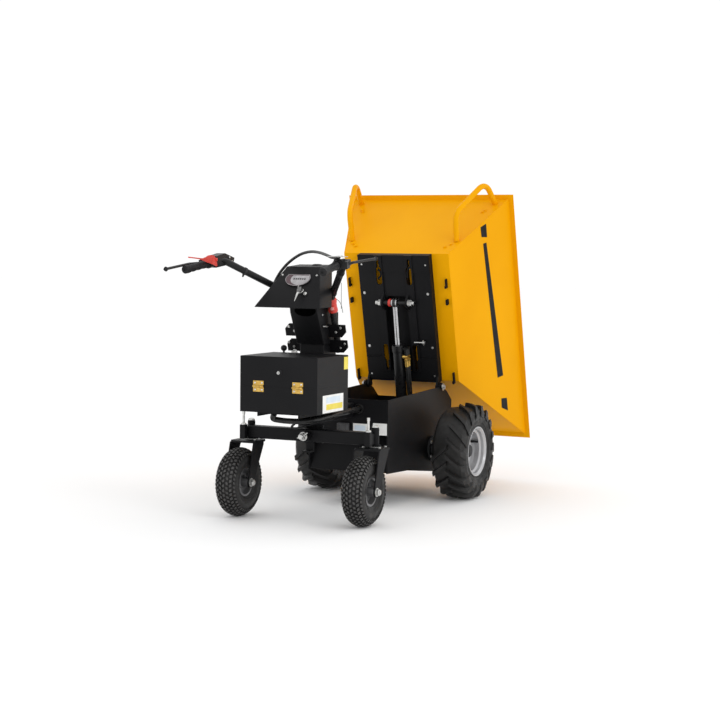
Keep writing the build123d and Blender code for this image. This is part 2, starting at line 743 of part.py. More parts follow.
with BuildPart() as key_switch:
    with BuildSketch(PANEL):
        with Locations((12, 96)):
            Circle(11)
    extrude(amount=8)
    with BuildSketch(PANEL.offset(8)):
        with Locations((12, 96)):
            Rectangle(3, 20)
    extrude(amount=22)
    with BuildSketch(PANEL):
        with Locations((32, 80)):
            Circle(7)
    extrude(amount=9)
finish(key_switch, "key_switch")

# ---- Levers, brackets, cable and hoses ----------------------------------------------------------

GRIP_DIR = (BAR_END - BAR_BEND).normalized()
CONTROL_SEAT = BAR_END - GRIP_DIR * (GRIP_LENGTH + CONTROL_GAP)
# Controls, from their seat on the handlebar: lever's corners, its knob's radius, housing's outline
CONTROLS = (
    (((0, 32, 0), (-90, 36, -4), (-258, 30, -22)), 9,
     ((16, -18), (16, 25), (80, 36), (151, 19), (143, -3))),
    (((0, 32, 0), (30, 44, 8), (190, 60, 22)), 8,
     ((16, -14), (16, 13), (56, 16), (68, -2))),
)
HOUSING_HALF = 18
for (corners, knob_r, outline), (name, side) in zip(CONTROLS, SIDES):
    seat = mirrored(CONTROL_SEAT, side)
    stops = [seat + mirrored(Vector(*corner), side) for corner in corners]
    with BuildPart() as control:
        along = mirrored(GRIP_DIR, side)
        outboard = along.cross(Vector(0, 0, side)).normalized()
        with BuildSketch(Plane(origin=seat, x_dir=outboard, z_dir=along)):
            Circle(BAR_R + 6)
            with Locations((20, 0)):
                Rectangle(40, 26)
            Circle(BAR_R, mode=Mode.SUBTRACT)
        extrude(amount=15, both=True)
        with BuildSketch(side_plane(seat.Y)):
            Polygon(*[(seat.X + x, seat.Z + z) for x, z in outline], align=None)
        extrude(amount=HOUSING_HALF, both=True)
        sweep_round(bar_route(side), [50, 60], BAR_R, mode=Mode.SUBTRACT)
        sweep_round(stops, [40], 5)
        knob_dir = (stops[2] - stops[1]).normalized()
        with BuildSketch(Plane(origin=stops[2], z_dir=knob_dir)):
            Circle(knob_r)
        extrude(amount=knob_r, taper=25, both=True)
    finish(control, f"control_{name}")

for name, route, radius in (
    ("throttle_cable", CABLE_ROUTE, CABLE_R),
    ("hose_bundle", HOSE_ROUTE, HOSE_R),
):
    points = along_route(route)
    with BuildPart() as cable:
        sweep_round(points, corner_radii(points), radius)
    finish(cable, name)

# ---- Tray ---------------------------------------------------------------------------------------


def tray_ring(v, inset):
    """Front, rear and half width of the tray's walls at a height, outside or one sheet in."""
    rise = v / TRAY_DEPTH
    thick_front = inset * SHEET * sqrt(1 + (FRONT_FLARE / TRAY_DEPTH) ** 2)
    thick_rear = inset * SHEET * sqrt(1 + (REAR_FLARE / TRAY_DEPTH) ** 2)
    thick_side = inset * SHEET * sqrt(1 + (SIDE_FLARE / TRAY_DEPTH) ** 2)
    front = -FRONT_FLARE * rise + thick_front
    rear = FLOOR_LENGTH + REAR_FLARE * rise - thick_rear
    half_width = FLOOR_HALF + SIDE_FLARE * rise - thick_side
    return front, rear, half_width


def ring_corners(v, inset):
    """Corners of the tray at a height: front left, rear left, rear right, front right."""
    front, rear, half_width = tray_ring(v, inset)
    return [
        on_tray(front, v, half_width),
        on_tray(rear, v, half_width),
        on_tray(rear, v, -half_width),
        on_tray(front, v, -half_width),
    ]


def quad(points):
    """Flat face through four corners."""
    return Face(Wire.make_polygon(points))


def lip_corners(grow):
    """Corners of the rim, grown outward by the lip."""
    front, rear, half_width = tray_ring(TRAY_DEPTH, 0)
    return [
        (front - grow, half_width + grow),
        (rear + grow, half_width + grow),
        (rear + grow, -half_width - grow),
        (front - grow, -half_width - grow),
    ]


outer_low = ring_corners(0, 0)
outer_high = ring_corners(TRAY_DEPTH, 0)
inner_low = ring_corners(SHEET, 1)
inner_high = ring_corners(TRAY_DEPTH, 1)
RIM_FACE = Plane(origin=on_tray(0, TRAY_DEPTH - SHEET, 0), x_dir=U_DIR, z_dir=V_DIR)

with BuildPart() as tray_floor:
    loft([quad(outer_low), quad(inner_low)], ruled=True)
finish(tray_floor, "tray_floor")

# Walls in the order of their first corners
WALLS = ("tray_side_left", "tray_rear", "tray_side_right", "tray_front")
front, rear, half_width = tray_ring(TRAY_DEPTH, 1)
lip_inner = [(front, half_width), (rear, half_width), (rear, -half_width), (front, -half_width)]
lip_outer = lip_corners(LIP)
for first, name in enumerate(WALLS):
    second = (first + 1) % len(WALLS)
    outside = [outer_low[first], outer_low[second], outer_high[second], outer_high[first]]
    inside = [inner_low[first], inner_low[second], inner_high[second], inner_high[first]]
    strip = [lip_inner[first], lip_inner[second], lip_outer[second], lip_outer[first]]
    with BuildPart() as wall:
        loft([quad(outside), quad(inside)], ruled=True)
        with BuildSketch(RIM_FACE):
            Polygon(*[(u, -y) for u, y in strip], align=None)
        extrude(amount=SHEET)
    finish(wall, name)

LOOP_R = 12
with BuildPart() as loops:
    for _, side in SIDES:
        route = [
            on_tray(FLOOR_LENGTH + REAR_FLARE * 94 / TRAY_DEPTH - 1, 94, side * 243),
            on_tray(708, 99, side * 247),
            on_tray(795, 310, side * 306),
            on_tray(FLOOR_LENGTH + REAR_FLARE * 374 / TRAY_DEPTH - 1, 374, side * 319),
        ]
        sweep_round(route, [58, 58], LOOP_R)
    split(bisect_by=Plane(
        origin=on_tray(FLOOR_LENGTH, 0, 0),
        x_dir=Y_DIR,
        z_dir=(U_DIR * REAR_FLARE + V_DIR * TRAY_DEPTH).cross(Y_DIR),
    ))
finish(loops, "grab_loops")

# ---- Subframe under the tray --------------------------------------------------------------------

UNDER = Plane(origin=TRAY_ORIGIN, x_dir=U_DIR, z_dir=-V_DIR)    # faces down from the floor
WINDOW_START = 45
WINDOW_END = 378
WINDOW_HALF = 50
RIB_Y = 70
RIB_WIDTH = 36
RIB_H = 7
LUG_T = 8
SHAFT_R = 9
SHAFT_EAR_Y = 57
RIB_SKIN = 4
STRAP_T = 3
# Keyhole slots, on both sides: first end, last end, distance from the middle, width
SLOTS = ((428, 506, 69, 26), (490, 540, 71, 12), (92, 166, 67, 22), (50, 112, 67, 12))
# Cross straps: first end, last end
STRAPS = ((8, 105), (482, FLOOR_LENGTH - 2))
subframe_length = FLOOR_LENGTH - SUBFRAME_FRONT
with BuildPart() as subframe:
    with BuildSketch(UNDER):
        with Locations((SUBFRAME_FRONT + subframe_length / 2, 0)):
            Rectangle(subframe_length, 2 * SUBFRAME_HALF)
    extrude(amount=SUBFRAME_T)
    with BuildSketch(UNDER):
        with Locations((SUBFRAME_FRONT + subframe_length / 2, 0)):
            Rectangle(subframe_length - 2 * SHEET, 2 * (SUBFRAME_HALF - SHEET))
    extrude(amount=SUBFRAME_T - SHEET, mode=Mode.SUBTRACT)
    for _, side in SIDES:
        with BuildSketch(UNDER):
            with Locations(((WINDOW_START + FLOOR_LENGTH) / 2, side * RIB_Y)):
                Rectangle(FLOOR_LENGTH - WINDOW_START, RIB_WIDTH)
        extrude(amount=SUBFRAME_T + RIB_H)
        with BuildSketch(TRAY_SIDE.offset(side * (SUBFRAME_HALF - LUG_T / 2))):
            with Locations((HINGE_U, HINGE_V)):
                Circle(HINGE_EAR_R)
            with Locations((HINGE_U + 20, -SUBFRAME_T + 6)):
                Rectangle(56, 12)
            make_hull()
        extrude(amount=LUG_T / 2, both=True)
        with BuildSketch(TRAY_SIDE.offset(side * (SUBFRAME_HALF - LUG_T / 2))):
            with Locations((HINGE_U, HINGE_V)):
                Circle(HINGE_PIN_R + RUN)
        extrude(amount=LUG_T, both=True, mode=Mode.SUBTRACT)
        with BuildSketch(UNDER):
            with Locations(((WINDOW_START + FLOOR_LENGTH) / 2, side * (RIB_Y + 2 * RIB_SKIN))):
                Rectangle(FLOOR_LENGTH - WINDOW_START - 2 * RIB_SKIN, RIB_WIDTH + 2 * RIB_SKIN)
        extrude(amount=SUBFRAME_T - SHEET, mode=Mode.SUBTRACT)
        with BuildSketch(UNDER):
            with Locations(((WINDOW_START + FLOOR_LENGTH) / 2, side * RIB_Y)):
                Rectangle(FLOOR_LENGTH - WINDOW_START - 2 * RIB_SKIN, RIB_WIDTH - 2 * RIB_SKIN)
        extrude(amount=SUBFRAME_T + RIB_H - RIB_SKIN, mode=Mode.SUBTRACT)
    for start, end in STRAPS:
        with BuildSketch(UNDER.offset(SUBFRAME_T - 1)):
            with Locations(((start + end) / 2, 0)):
                Rectangle(end - start, 2 * SUBFRAME_HALF - 4)
        extrude(amount=STRAP_T + 1)
    with BuildSketch(UNDER):
        with Locations(((WINDOW_START + WINDOW_END) / 2, 0)):
            RectangleRounded(WINDOW_END - WINDOW_START, 2 * WINDOW_HALF, 20)
    extrude(amount=SUBFRAME_T + RIB_H + 1, mode=Mode.SUBTRACT)
    with BuildSketch(UNDER):
        with Locations(((WINDOW_START + WINDOW_END) / 2, 0)):
            Rectangle(WINDOW_END - WINDOW_START + 8, 2 * WINDOW_HALF + 8)
    extrude(amount=SHEET)
    for _, side in SIDES:
        with BuildSketch(TRAY_SIDE.offset(side * SHAFT_EAR_Y)):
            with Locations((ROD_PIN_U, ROD_PIN_V)):
                Circle(20)
            with Locations((ROD_PIN_U, -SUBFRAME_T - RIB_H + 2)):
                Rectangle(70, 4)
            make_hull()
            with Locations((ROD_PIN_U, ROD_PIN_V)):
                Circle(SHAFT_R + RUN, mode=Mode.SUBTRACT)
        extrude(amount=4, both=True)
    for start, end, slot_y, slot_width in SLOTS:
        with BuildSketch(UNDER):
            with Locations(((start + end) / 2, slot_y), ((start + end) / 2, -slot_y)):
                SlotOverall(end - start, slot_width)
        extrude(amount=SUBFRAME_T + RIB_H + 1, mode=Mode.SUBTRACT)
finish(subframe, "tray_subframe")

with BuildPart() as shaft:
    for _, side in SIDES:
        with BuildSketch(TRAY_SIDE.offset(side * (EYE_HALF + 2))):
            with Locations((ROD_PIN_U, ROD_PIN_V)):
                Circle(SHAFT_R)
        extrude(amount=side * (SHAFT_EAR_Y + 34 - EYE_HALF - 2))
finish(shaft, "tray_cross_shaft")

# Hooks and lugs for the cargo net: middle, length, length of the open mouth
HOOKS = ((430, 40, 30), (350, 24, 0), (15, 50, 38))
with BuildPart() as hooks:
    for middle, length, mouth in HOOKS:
        for _, side in SIDES:
            with BuildSketch(UNDER):
                with Locations((middle, side * 222)):
                    RectangleRounded(length, 9, 3)
                if mouth:
                    with Locations((middle + (length - mouth) / 2, side * 219.5)):
                        Rectangle(mouth, 4.2, mode=Mode.SUBTRACT)
            extrude(amount=16)
finish(hooks, "tray_hooks")

# ---- Tipping cylinder ---------------------------------------------------------------------------

rod_tip = on_tray(ROD_PIN_U, ROD_PIN_V, 0)
base_pin = Vector(BASE_PIN_X, 0, BASE_PIN_Z)
open_length = (rod_tip - base_pin).length
CYLINDER_DIR = (rod_tip - base_pin).normalized()
CYLINDER = Plane(origin=base_pin, x_dir=Y_DIR, z_dir=CYLINDER_DIR)
EYE_R = 19

with BuildPart() as barrel:
    cross_bar(EYE_R, BASE_PIN_X, BASE_PIN_Z, -EYE_HALF, EYE_HALF)
    with BuildSketch(CYLINDER.offset(12)):
        Rectangle(2 * EYE_HALF, 28)
    extrude(amount=16)
    with BuildSketch(CYLINDER.offset(27)):
        Circle(BARREL_R)
    extrude(amount=BARREL_LENGTH - 27)
    with BuildSketch(CYLINDER.offset(BARREL_LENGTH - 22)):
        Circle(BARREL_R + 3)
    extrude(amount=22)
    with BuildSketch(CYLINDER.offset(40)):
        Circle(BARREL_R - 4)
    extrude(amount=BARREL_LENGTH - 52, mode=Mode.SUBTRACT)
    with BuildSketch(CYLINDER.offset(40)):
        Circle(ROD_R + RUN)
    extrude(amount=BARREL_LENGTH, mode=Mode.SUBTRACT)
    with BuildSketch(side_plane(0)):
        with Locations((BASE_PIN_X, BASE_PIN_Z)):
            Circle(10)
    extrude(amount=EYE_HALF + 1, both=True, mode=Mode.SUBTRACT)
finish(barrel, "cylinder_barrel")

with BuildPart() as rod:
    with BuildSketch(CYLINDER.offset(BARREL_LENGTH - 32)):
        Circle(ROD_R)
    extrude(amount=open_length - BARREL_LENGTH + 32 - 12)
    cross_bar(EYE_R - 1, rod_tip.X, rod_tip.Z, -EYE_HALF, EYE_HALF)
    with BuildSketch(side_plane(0)):
        with Locations((rod_tip.X, rod_tip.Z)):
            Circle(SHAFT_R + RUN)
    extrude(amount=EYE_HALF + 1, both=True, mode=Mode.SUBTRACT)
finish(rod, "cylinder_rod")

HOSE_OFFSET = -BARREL_R - 15.5
with BuildPart() as hoses:
    for ahead in (-9, 9):
        top = CYLINDER.from_local_coords((HOSE_OFFSET, ahead, BARREL_LENGTH - 40))
        with BuildSketch(Plane(origin=top, x_dir=Y_DIR, z_dir=-CYLINDER_DIR)):
            Circle(5.5)
        extrude(amount=BARREL_LENGTH - 110)
        with BuildSketch(Plane(origin=top, x_dir=Y_DIR, z_dir=CYLINDER_DIR)):
            RegularPolygon(8, 6)
        extrude(amount=24)
    block = CYLINDER.from_local_coords((-BARREL_R - 15, 0, BARREL_LENGTH - 10))
    with BuildSketch(Plane(origin=block, x_dir=Y_DIR, z_dir=-CYLINDER_DIR)):
        Rectangle(24, 34)
    extrude(amount=6)
finish(hoses, "cylinder_hoses")
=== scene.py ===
import math
from math import cos, radians, sin, tau

import bmesh
import bpy
from mathutils import Matrix, Vector


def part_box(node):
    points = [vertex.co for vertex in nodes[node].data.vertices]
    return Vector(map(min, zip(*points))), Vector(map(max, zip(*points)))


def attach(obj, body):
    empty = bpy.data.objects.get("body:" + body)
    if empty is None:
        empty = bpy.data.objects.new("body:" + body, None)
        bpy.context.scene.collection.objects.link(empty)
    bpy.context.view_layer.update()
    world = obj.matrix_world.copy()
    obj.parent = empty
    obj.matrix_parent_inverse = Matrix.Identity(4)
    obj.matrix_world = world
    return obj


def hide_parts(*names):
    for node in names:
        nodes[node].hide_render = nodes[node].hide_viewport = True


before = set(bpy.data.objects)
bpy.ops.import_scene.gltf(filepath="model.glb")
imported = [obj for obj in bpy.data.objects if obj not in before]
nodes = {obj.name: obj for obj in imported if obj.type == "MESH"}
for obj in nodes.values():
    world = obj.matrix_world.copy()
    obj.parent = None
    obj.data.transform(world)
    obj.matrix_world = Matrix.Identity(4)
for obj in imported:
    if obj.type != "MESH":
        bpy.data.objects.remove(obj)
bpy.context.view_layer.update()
scene = bpy.context.scene

# ---- Studio -------------------------------------------------------------------------------------
# The machine stands on a pale seamless floor, as in a product studio.  Large soft lamps stand
# round it, and the camera looks at its rear right corner from a little above the handlebars.

scene.view_settings.view_transform = "Standard"


class Wire:
    """A shader socket.  Arithmetic on wires adds Math nodes, and `add` makes any other node."""

    def __init__(self, socket):
        self.socket = socket
        self.tree = socket.id_data

    def add(self, kind, settings, values, output=0):
        """A node of a kind: its settings are set first, then its sockets' values or links."""
        node = self.tree.nodes.new(kind)
        for name, value in settings.items():
            setattr(node, name, value)
        for name, value in values.items():
            if isinstance(value, Wire):
                self.tree.links.new(value.socket, node.inputs[name])
            else:
                node.inputs[name].default_value = value
        return Wire(node.outputs[output]) if node.outputs else None

    def math(self, operation, *values):
        return self.add("ShaderNodeMath", {"operation": operation}, dict(enumerate(values)))

    def __add__(self, other):
        return self.math("ADD", self, other)

    def __sub__(self, other):
        return self.math("SUBTRACT", self, other)

    def __rsub__(self, other):
        return self.math("SUBTRACT", other, self)

    def __mul__(self, other):
        return self.math("MULTIPLY", self, other)

    __radd__ = __add__
    __rmul__ = __mul__

    def noise(self, scale, detail=2.0):
        """Noise from 0 to 1 at this place, with about `scale` lumps to the metre."""
        return self.add("ShaderNodeTexNoise", {}, {
            "Vector": self, "Scale": scale, "Detail": detail})

    def between(self, low, high, first=0.0, last=1.0):
        """Runs smoothly from first to last as this wire runs from low to high."""
        return self.add("ShaderNodeMapRange", {"interpolation_type": "SMOOTHSTEP"}, {
            "Value": self, "From Min": low, "From Max": high, "To Min": first, "To Max": last})

    def tint(self, first, last):
        """Mixes two colours by this wire."""
        ends = {6: first, 7: last}
        return self.add("ShaderNodeMix", {"data_type": "RGBA"}, {
            0: self, **{key: c if isinstance(c, Wire) else (*c, 1) for key, c in ends.items()}},
            output=2)

    def mottle(self, scale, detail, first, last):
        """Soft patches of two colours at this place."""
        return self.noise(scale, detail).between(0.3, 0.7).tint(first, last)

    def far_from(self, point):
        """Distance of this place from a point."""
        return self.add("ShaderNodeVectorMath", {"operation": "DISTANCE"}, {
            0: self, 1: point}, output=1)

    def bump(self, height, distance, strength=1.0):
        """The normal of a surface that a height from 0 to 1 lifts by a distance."""
        return self.add("ShaderNodeBump", {}, {
            "Height": height, "Distance": distance, "Strength": strength})


def surface(name, slot=None):
    """Starts a material for a slot of the record: gives it, and the wire of places on the object."""
    material = bpy.data.materials.new(name)
    material["slot"] = slot or name
    material.use_nodes = True
    material.node_tree.nodes.clear()
    place = material.node_tree.nodes.new("ShaderNodeTexCoord")
    return material, Wire(place.outputs["Object"])


def shade(place, **values):
    """Ends a material with its shader."""
    values = {name.replace("_", " "): value for name, value in values.items()}
    shader = place.add("ShaderNodeBsdfPrincipled", {}, values)
    place.add("ShaderNodeOutputMaterial", {}, {"Surface": shader})


camera_data = bpy.data.cameras.new("studio_camera")
camera_data.lens = 83.46
camera_data.sensor_width = 36
camera = bpy.data.objects.new("studio_camera", camera_data)
scene.collection.objects.link(camera)
scene.camera = camera
yaw, pitch, roll = (radians(angle) for angle in (25.476, 3.771, 0.610))
ahead = Vector((cos(yaw) * cos(pitch), sin(yaw) * cos(pitch), -sin(pitch)))
level = Vector((sin(yaw), -cos(yaw), 0))
over = level.cross(ahead)
across = level * cos(roll) + over * sin(roll)
upright = over * cos(roll) - level * sin(roll)
camera.matrix_world = Matrix.Translation((-6.074, -2.906, 1.031)) @ Matrix(
    (across, upright, -ahead)).transposed().to_4x4()

FLOOR_REACH = 40
floor_finish, place = surface("studio_floor")
shade(place, Base_Color=(0.97, 0.97, 0.97, 1), Roughness=0.9)
floor_mesh = bpy.data.meshes.new("studio_floor")
floor_mesh.from_pydata(
    [(x, y, 0) for x, y in ((-1, -1), (1, -1), (1, 1), (-1, 1))], [], [(0, 1, 2, 3)])
floor_mesh.transform(Matrix.Scale(FLOOR_REACH, 4))
floor_mesh.materials.append(floor_finish)
floor = bpy.data.objects.new("studio_floor", floor_mesh)
scene.collection.objects.link(floor)

world = bpy.data.worlds.new("studio_world")
world.use_nodes = True
scene.world = world
world.node_tree.nodes["Background"].inputs["Color"].default_value = (1, 1, 1, 1)
world.node_tree.nodes["Background"].inputs["Strength"].default_value = 1.04

# Lamps: name, place, point it looks at, width, power
LAMPS = (
    ("key_lamp", (-2.4, -5.2, 3.4), (0.2, 0, 0.6), 2.0, 50),
    ("fill_lamp", (-5.5, 2.5, 2.6), (-0.2, 0, 0.6), 2.5, 8),
    ("back_lamp", (4.0, -2.5, 4.5), (0.2, 0, 0.8), 2.5, 12),
)
for name, at, target, width, power in LAMPS:
    lamp_data = bpy.data.lights.new(name, "AREA")
    lamp_data.size = width
    lamp_data.energy = power
    lamp = bpy.data.objects.new(name, lamp_data)
    lamp.location = at
    lamp.rotation_euler = (Vector(target) - Vector(at)).to_track_quat("-Z", "Y").to_euler()
    scene.collection.objects.link(lamp)

# ---- Chassis ------------------------------------------------------------------------------------
# A box of laser-cut and folded 5 mm steel plate, welded and powder-coated in fine-textured black.
# The tray's hinge pins are bolted through its ears, and blank labels are stuck on its rear plate.


def coat(material, *names):
    """Gives CAD nodes a finish."""
    for name in names:
        nodes[name].data.materials.clear()
        nodes[name].data.materials.append(material)


def build(name, bm, finish, body, smooth=32):
    """Makes a piece of a mesh in hand and hangs it on a body."""
    bmesh.ops.recalc_face_normals(bm, faces=bm.faces)
    mesh = bpy.data.meshes.new(name)
    bm.to_mesh(mesh)
    bm.free()
    mesh.materials.append(finish)
    mesh.shade_smooth()
    mesh.set_sharp_from_angle(angle=radians(smooth))
    piece = bpy.data.objects.new(name, mesh)
    scene.collection.objects.link(piece)
    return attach(piece, body)


def turned(bm, at, axis, profile, steps=24):
    """Adds a turned shape; its profile gives places along the axis and radii there."""
    at, axis = Vector(at), Vector(axis).normalized()
    first = axis.orthogonal().normalized()
    second = axis.cross(first)
    rings = []
    for along, radius in profile:
        angles = [tau * step / steps for step in range(steps if radius else 1)]
        rings.append([bm.verts.new(at + axis * along + (first * cos(a) + second * sin(a)) * radius)
                      for a in angles])
    for low, high in zip(rings, rings[1:]):
        for step in range(steps):
            pairs = ((low, step), (low, step + 1), (high, step + 1), (high, step))
            corners = dict.fromkeys(ring[index % len(ring)] for ring, index in pairs)
            if len(corners) > 2:
                bm.faces.new(corners)


def bolt(bm, at, axis, size):
    """Adds a hexagon head, `size` across its corners, on a washer."""
    at, axis = Vector(at), Vector(axis).normalized()
    turned(bm, at, axis, [(0, 0), (0, size * 0.7), (size * 0.1, size * 0.7), (size * 0.1, 0)], 20)
    turned(bm, at + axis * size * 0.1, axis, [
        (0, size * 0.5), (size * 0.3, size * 0.5), (size * 0.38, size * 0.42), (size * 0.38, 0)], 6)


def block(bm, at, size, soft=0.001, turn=Matrix.Identity(4)):
    """Adds a block with softened edges."""
    made = bmesh.ops.create_cube(
        bm, size=1, matrix=Matrix.Translation(at) @ turn @ Matrix.Diagonal((*size, 1)))
    edges = list({edge for vert in made["verts"] for edge in vert.link_edges})
    bmesh.ops.bevel(bm, geom=edges, offset=soft, segments=2, affect="EDGES", profile=0.5)


def slab(bm, outline, depth):
    """Adds a plate from its outline, grown along a vector."""
    face = bm.faces.new([bm.verts.new(point) for point in outline])
    grown = bmesh.ops.extrude_face_region(bm, geom=[face])["geom"]
    bmesh.ops.translate(
        bm, vec=depth, verts=[item for item in grown if isinstance(item, bmesh.types.BMVert)])


black, place = surface("black_paint")
grain = place.noise(700, 3)
shade(place,
      Base_Color=place.mottle(3, 3, (0.0060, 0.0060, 0.0068), (0.0090, 0.0090, 0.0100)),
      Roughness=grain.between(0.25, 0.75, 0.40, 0.52), Specular_IOR_Level=0.12,
      Normal=place.bump(grain, 0.0005, 0.35))
coat(black, "chassis_side_left", "chassis_side_right", "chassis_pan", "chassis_rear_plate",
     "neck_frame", "platform", "swing_beam", "beam_pivot", "caster_fork_left",
     "caster_fork_right", "column", "column_tabs", "console", "battery_box", "battery_lid",
     "tray_subframe", "tray_hooks", "cylinder_mount")

zinc, place = surface("zinc")
shade(place,
      Base_Color=place.mottle(60, 3, (0.50, 0.50, 0.49), (0.68, 0.68, 0.66)),
      Metallic=1.0, Roughness=place.noise(220, 3).between(0.3, 0.7, 0.25, 0.42))



def film(name, slot, first, last):
    """A glossy printed film, mottled between two colours."""
    material, place = surface(name, slot)
    shade(place, Base_Color=place.mottle(30, 2, first, last),
          Roughness=0.35, Coat_Weight=0.3)
    return material


paper = film("label_film", "grey_plastic", (0.80, 0.80, 0.78), (0.88, 0.88, 0.86))
sky = film("pale_blue_film", "grey_plastic", (0.62, 0.72, 0.82), (0.70, 0.79, 0.87))

rear_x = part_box("chassis_rear_plate")[0].x
LABEL = 0.0004
bm = bmesh.new()
slab(bm, [(rear_x, -0.111, 0.297), (rear_x, -0.172, 0.297), (rear_x, -0.172, 0.344),
          (rear_x, -0.111, 0.344)], (-LABEL, 0, 0))
slab(bm, [(rear_x, -0.023, 0.304), (rear_x, -0.085, 0.304), (rear_x, -0.085, 0.339),
          (rear_x, -0.023, 0.339)], (-LABEL, 0, 0))
build("rear_label_white", bm, paper, "chassis")
bm = bmesh.new()
slab(bm, [(rear_x - LABEL, -0.030, 0.311), (rear_x - LABEL, -0.078, 0.311),
          (rear_x - LABEL, -0.078, 0.332), (rear_x - LABEL, -0.030, 0.332)], (-LABEL / 2, 0, 0))
build("rear_label_blue", bm, sky, "chassis")

HINGE = Vector((0.462, 0, 0.454))
side_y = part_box("chassis_side_left")[1].y
plate_y = 0.176
bm = bmesh.new()
for side in (1, -1):
    pin = HINGE + Vector((0, side * side_y, 0))
    turned(bm, pin, (0, side, 0), [(0, 0.0), (0, 0.015), (0.002, 0.015), (0.002, 0)], 24)
    bolt(bm, pin + Vector((0, side * 0.002, 0)), (0, side, 0), 0.017)
build("chassis_bolts", bm, zinc, "chassis")

# ---- Drive axle, motor and hydraulic unit -------------------------------------------------------
# A cast gearbox splits the axle tube, with a finned electric motor flanged to it.  The hydraulic
# unit is a pressed oil tank with a pump; both lie in the well under the tray.

cast, place = surface("machinery_grey")
rough = place.noise(260, 4)
shade(place,
      Base_Color=place.mottle(7, 3, (0.020, 0.021, 0.023), (0.038, 0.039, 0.041)),
      Metallic=0.3, Roughness=rough.between(0.3, 0.7, 0.4, 0.6),
      Normal=place.bump(rough, 0.0008, 0.5))
coat(cast, "drive_axle", "drive_motor", "hydraulic_unit", "battery_block")

motor_low, motor_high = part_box("drive_motor")
motor_middle = (motor_low + motor_high) / 2
motor_r = (motor_high.z - motor_low.z) / 2
bm = bmesh.new()
for index in range(9):
    turned(bm, (motor_low.x + 0.020 + index * 0.013, motor_middle.y, motor_middle.z), (1, 0, 0),
           [(0, motor_r - 0.002), (0, motor_r + 0.004), (0.004, motor_r + 0.004),
            (0.004, motor_r - 0.002)], 48)
block(bm, (motor_middle.x, motor_middle.y, motor_high.z + 0.010), (0.05, 0.05, 0.024), 0.003)
build("motor_fins", bm, cast, "chassis")

tank_low, tank_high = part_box("hydraulic_unit")
bm = bmesh.new()
turned(bm, (tank_low.x + 0.045, (tank_low.y + tank_high.y) / 2, tank_high.z), (0, 0, 1), [
    (0, 0), (0, 0.018), (0.012, 0.018), (0.015, 0.015), (0.015, 0)], 24)
for x in (0.06, 0.10, 0.14):
    block(bm, (tank_low.x + x, tank_high.y + 0.001, (tank_low.z + tank_high.z) / 2),
          (0.006, 0.006, 0.07), 0.002)
build("tank_cap", bm, cast, "chassis")

axle_x, axle_z = 0.372, 0.2
bm = bmesh.new()
for side in (1, -1):
    for index in range(4):
        angle = tau * (index + 0.5) / 4
        bolt(bm, (axle_x + 0.042 * cos(angle), side * (plate_y + 0.008), axle_z + 0.042 * sin(angle)),
             (0, side, 0), 0.011)
build("axle_bolts", bm, zinc, "chassis")

# ---- Drive wheels -------------------------------------------------------------------------------
# Deep-dished steel rims, pressed and painted silver, carry lugged tyres.  Each has a black hub
# cap, four wheel bolts and a rubber valve, and moulded rings run round the tyre's wall.

rubber, place = surface("tyre_rubber")
dust = place.noise(16, 4).between(0.35, 0.7)
shade(place,
      Base_Color=dust.tint((0.0100, 0.0098, 0.0095), (0.019, 0.0180, 0.0175)),
      Roughness=place.noise(50, 3).between(0.3, 0.7, 0.42, 0.62), Specular_IOR_Level=0.35,
      Normal=place.bump(place.noise(420, 3), 0.0005, 0.45))
coat(rubber, "drive_tyre_left", "drive_tyre_right", "caster_tyre_left", "caster_tyre_right")

silver, place = surface("wheel_silver")
shade(place,
      Base_Color=place.mottle(9, 3, (0.40, 0.40, 0.41), (0.52, 0.52, 0.53)),
      Metallic=0.6, Roughness=place.noise(70, 3).between(0.3, 0.7, 0.32, 0.44),
      Normal=place.bump(place.noise(900, 2), 0.0003, 0.3))
coat(silver, "drive_rim_left", "drive_rim_right")

plastic, place = surface("black_plastic")
shade(place,
      Base_Color=place.mottle(20, 2, (0.010, 0.010, 0.011), (0.016, 0.016, 0.017)),
      Roughness=place.noise(300, 2).between(0.3, 0.7, 0.30, 0.45), Specular_IOR_Level=0.2)

DISC_Y = 0.312                  # outer face of the rim's disc, from the machine's middle
for name, side in (("left", 1), ("right", -1)):
    body = f"drive_wheel_{name}"
    bm = bmesh.new()
    turned(bm, (axle_x, side * 0.334, axle_z), (0, side, 0), [
        (0, 0), (0, 0.027), (0.010, 0.0265), (0.016, 0.022), (0.018, 0.012), (0.018, 0)], 32)
    build(f"hub_cap_{name}", bm, plastic, body)
    bm = bmesh.new()
    for index in range(4):
        angle = tau * (index + 0.3) / 4
        bolt(bm, (axle_x + 0.045 * cos(angle), side * DISC_Y, axle_z + 0.045 * sin(angle)),
             (0, side, 0), 0.016)
    build(f"wheel_bolts_{name}", bm, zinc, body)
    bm = bmesh.new()
    turned(bm, (axle_x + 0.066, side * 0.326, axle_z + 0.032), (0, side, 0), [
        (0, 0), (0, 0.006), (0.018, 0.0042), (0.030, 0.0042), (0.030, 0)], 16)
    build(f"tyre_valve_{name}", bm, plastic, body)
    bm = bmesh.new()
    for radius, reach in ((0.112, 0.0625), (0.122, 0.0685), (0.132, 0.0715)):
        for hand in (1, -1):
            turned(bm, (axle_x, side * 0.316 + hand * reach, axle_z), (0, hand, 0), [
                (-0.002, radius - 0.0025), (0.0012, radius - 0.001), (0.0012, radius + 0.001),
                (-0.002, radius + 0.0025)], 96)
    build(f"tyre_rings_{name}", bm, rubber, body)

# ---- Swing beam and lock pins -------------------------------------------------------------------
# A square tube swings on one big bolt, so that both caster wheels stay on rough ground.  Spring
# pins in the tubes beside the kingpins lock the casters straight for long runs.

